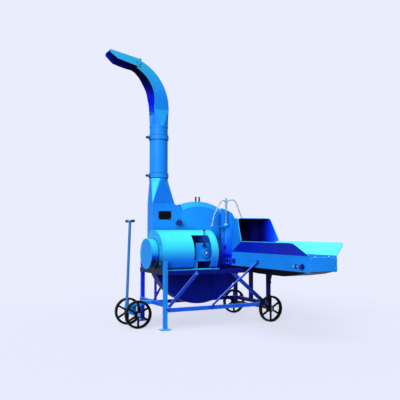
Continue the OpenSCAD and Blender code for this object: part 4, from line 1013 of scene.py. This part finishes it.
def screw_knob():
    """Round screw head in the middle of the star knob."""
    bm = bmesh.new()
    low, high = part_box("star_knob")
    add_dome(bm, Vector(((low.x + high.x) / 2, low.y + 2 * MM, KNOB_Z)), -Y_AXIS, KNOB_SCREW)
    make_piece("knob_screw", bm, "dark_steel", "knob", 50)


def set_bright_heads():
    """Bright round heads on the table's end, and the plug in the gearbox's bearing cap."""
    bm = bmesh.new()
    for place in TABLE_END_HEADS:
        add_dome(bm, Vector(place), Z_AXIS, TABLE_END_HEAD)
    add_dome(bm, Vector(CAP_PLUG), -Y_AXIS, CAP_PLUG_R)
    make_piece("bright_heads", bm, "bright_steel", "base", 50)


def bolt_flap():
    """Bolts through both cheeks of the outlet flap."""
    bm = bmesh.new()
    low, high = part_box("spout_flap")
    for x, z in FLAP_BOLTS_XZ:
        for y, out in ((low.y, -Y_AXIS), (high.y, Y_AXIS)):
            add_bolt(bm, Vector((x, y, z)), out, FLAP_BOLT)
    make_piece("flap_bolts", bm, "dark_steel", "flap")


# Running gear: ribbed grips and split pins

GRIP_BORE = 12 * MM
GRIP_TREAD = 16 * MM
GRIP_RIBS = 6
RIB_PITCH = 7.4 * MM
AXLE_Z = 0.150
REAR_AXLE = (0.810, 15)
FRONT_AXLE = (-0.730, 12)
PIN_EYE = 4 * MM
PIN_EYE_WIRE = 1.6 * MM
PIN_LEG_WIRE = 1.5 * MM


def rib_grips():
    """Push-on rubber grips with finger ribs and a rounded end bead."""
    low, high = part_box("drawbar_grips")
    middle = Vector(((low.x + high.x) / 2, 0, (low.z + high.z) / 2))
    groove = GRIP_TREAD * 0.87
    profile = [(0, 0), (GRIP_TREAD * 0.7, 0), (GRIP_TREAD * 0.95, 2 * MM), (GRIP_TREAD, 5 * MM)]
    for i in range(GRIP_RIBS):
        start = 8 * MM + RIB_PITCH * i
        profile += [(GRIP_TREAD, start), (groove, start + 1.4 * MM), (groove, start + 3.6 * MM),
                    (GRIP_TREAD, start + 5 * MM)]
    profile += [(GRIP_TREAD, 53 * MM), (GRIP_TREAD * 0.92, 56 * MM), (GRIP_BORE, 56 * MM),
                (GRIP_BORE, 6 * MM), (0, 6 * MM)]
    bm = bmesh.new()
    for end, inward in ((low.y, 1), (high.y, -1)):
        add_lathe(bm, middle + Y_AXIS * end, Y_AXIS * inward, profile, 28)
    grips = make_piece("ribbed_grips", bm, "black_rubber", "drawbar", 40)
    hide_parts("drawbar_grips")


def pin_axles():
    """Split pins through the axle ends, outside each wheel's washer."""
    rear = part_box("rear_axle")
    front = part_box("steering_bogie")
    ends = [(rear[0].y, 1, REAR_AXLE, "base"), (rear[1].y, -1, REAR_AXLE, "base"),
            (front[0].y, 1, FRONT_AXLE, "steering"), (front[1].y, -1, FRONT_AXLE, "steering")]
    pins = {"base": bmesh.new(), "steering": bmesh.new()}
    angles = [math.tau * i / 16 for i in range(16)]
    for y, inward, (x, axle), body in ends:
        at = Vector((x, y + inward * MM, AXLE_Z))
        reach = (axle + 5) * MM
        eye = [at + Z_AXIS * (reach + PIN_EYE * math.sin(a)) + X_AXIS * PIN_EYE * math.cos(a) for a in angles]
        add_tube(pins[body], eye, [PIN_EYE_WIRE] * len(eye), 8, closed=True)
        for lean in (-1, 1):
            top = at + X_AXIS * lean * PIN_EYE_WIRE
            leg = [top + Z_AXIS * reach, top - Z_AXIS * axle * MM,
                   top - Z_AXIS * (axle + 8) * MM + X_AXIS * lean * 8 * MM]
            path = eased(leg, 5 * MM)
            add_tube(pins[body], path, [PIN_LEG_WIRE] * len(path), 8)
    for body, bm in pins.items():
        make_piece(body + "_split_pins", bm, "bright_steel", body, 60)


# Floor, backdrop and studio light

BACKDROP = "#E9EDFD"
FLOOR_TINT = "#F0F2FC"
FLOOR_BOUNCE = "#40444F"
FLOOR_RADIUS = 14.0
FLOOR_FADE = (1.4, 5.0)
FLOOR_CLEAR = 0.7
AIR_TINT = "#8F9CEB"
AIR_STRENGTH = 0.2


def lay_floor():
    """A pale round floor that fades into the backdrop well away from the machine."""
    bm = bmesh.new()
    bmesh.ops.create_circle(bm, cap_ends=True, segments=96, radius=FLOOR_RADIUS)
    mesh = bpy.data.meshes.new("studio_floor")
    bm.to_mesh(mesh)
    bm.free()
    floor = bpy.data.objects.new("studio_floor", mesh)
    scene.collection.objects.link(floor)
    material, tree, shader = new_material("matt_floor", {"Roughness": 0.95, "Specular IOR Level": 0.1})
    path = add(tree, "LightPath")
    seen = add(tree, "Math", {"operation": "MAXIMUM"},
               {0: (path, "Is Camera Ray"), 1: (path, "Is Glossy Ray")})
    tint = add(tree, "Mix", COLOUR_MIX, {0: (seen, 0), 6: linear(FLOOR_BOUNCE), 7: linear(FLOOR_TINT)})
    tree.links.new(tint.outputs[2], shader.inputs["Base Color"])
    place = add(tree, "TexCoord")
    reach = add(tree, "VectorMath", {"operation": "LENGTH"}, {0: (place, "Object")})
    start, end = FLOOR_FADE
    fade = add(tree, "MapRange", SMOOTH,
               {"Value": (reach, "Value"), "From Min": start, "From Max": end, "To Min": FLOOR_CLEAR})
    clear = add(tree, "BsdfTransparent")
    both = add(tree, "MixShader", None, {0: (fade, 0), 1: (shader, 0), 2: (clear, 0)})
    tree.links.new(both.outputs[0], tree.nodes["Material Output"].inputs["Surface"])
    mesh.materials.append(material)


def light_world():
    """Even cool studio air; the camera and reflections see the pale backdrop instead."""
    world = bpy.data.worlds.new("studio")
    scene.world = world
    world.use_nodes = True
    tree = world.node_tree
    air = tree.nodes["Background"]
    air.inputs["Color"].default_value = linear(AIR_TINT)
    air.inputs["Strength"].default_value = AIR_STRENGTH
    backdrop = add(tree, "Background", None, {"Color": linear(BACKDROP), "Strength": 1.0})
    path = add(tree, "LightPath")
    seen = add(tree, "Math", {"operation": "MAXIMUM"},
               {0: (path, "Is Camera Ray"), 1: (path, "Is Transmission Ray")})
    shown = add(tree, "Math", {"operation": "MAXIMUM"}, {0: (seen, 0), 1: (path, "Is Glossy Ray")})
    both = add(tree, "MixShader", None, {0: (shown, 0), 1: (air, 0), 2: (backdrop, 0)})
    tree.links.new(both.outputs[0], tree.nodes["World Output"].inputs["Surface"])


def broad_light(name, side, strength, spread):
    """A large far panel that lights the machine evenly from one side; its spread is in degrees."""
    data = bpy.data.lights.new(name, "SUN")
    data.energy = strength
    data.angle = math.radians(spread)
    lamp = bpy.data.objects.new(name, data)
    lamp.rotation_euler = Vector(side).to_track_quat("Z", "Y").to_euler()
    scene.collection.objects.link(lamp)


def light_studio():
    """Studio air, a soft panel overhead and a stronger one at the left front."""
    light_world()
    broad_light("overhead_panel", (-0.15, -0.1, 1.0), strength=1.3, spread=60)
    broad_light("left_front_panel", (-0.8, -0.8, 0.5), strength=3.0, spread=40)


place_camera()
finish_cad_nodes()
wind_spring()
bend_bail()
build_apron()
roll_edges()
fold_spout_lips()
weld_frame()
sleeve_table_stay()
fit_shade_line_seals()
blacken_clamps()
sleeve_lifting_pins()
bolt_sheets()
rivet_plate()
screw_knob()
set_bright_heads()
bolt_flap()
rib_grips()
pin_axles()
lay_floor()
light_studio()
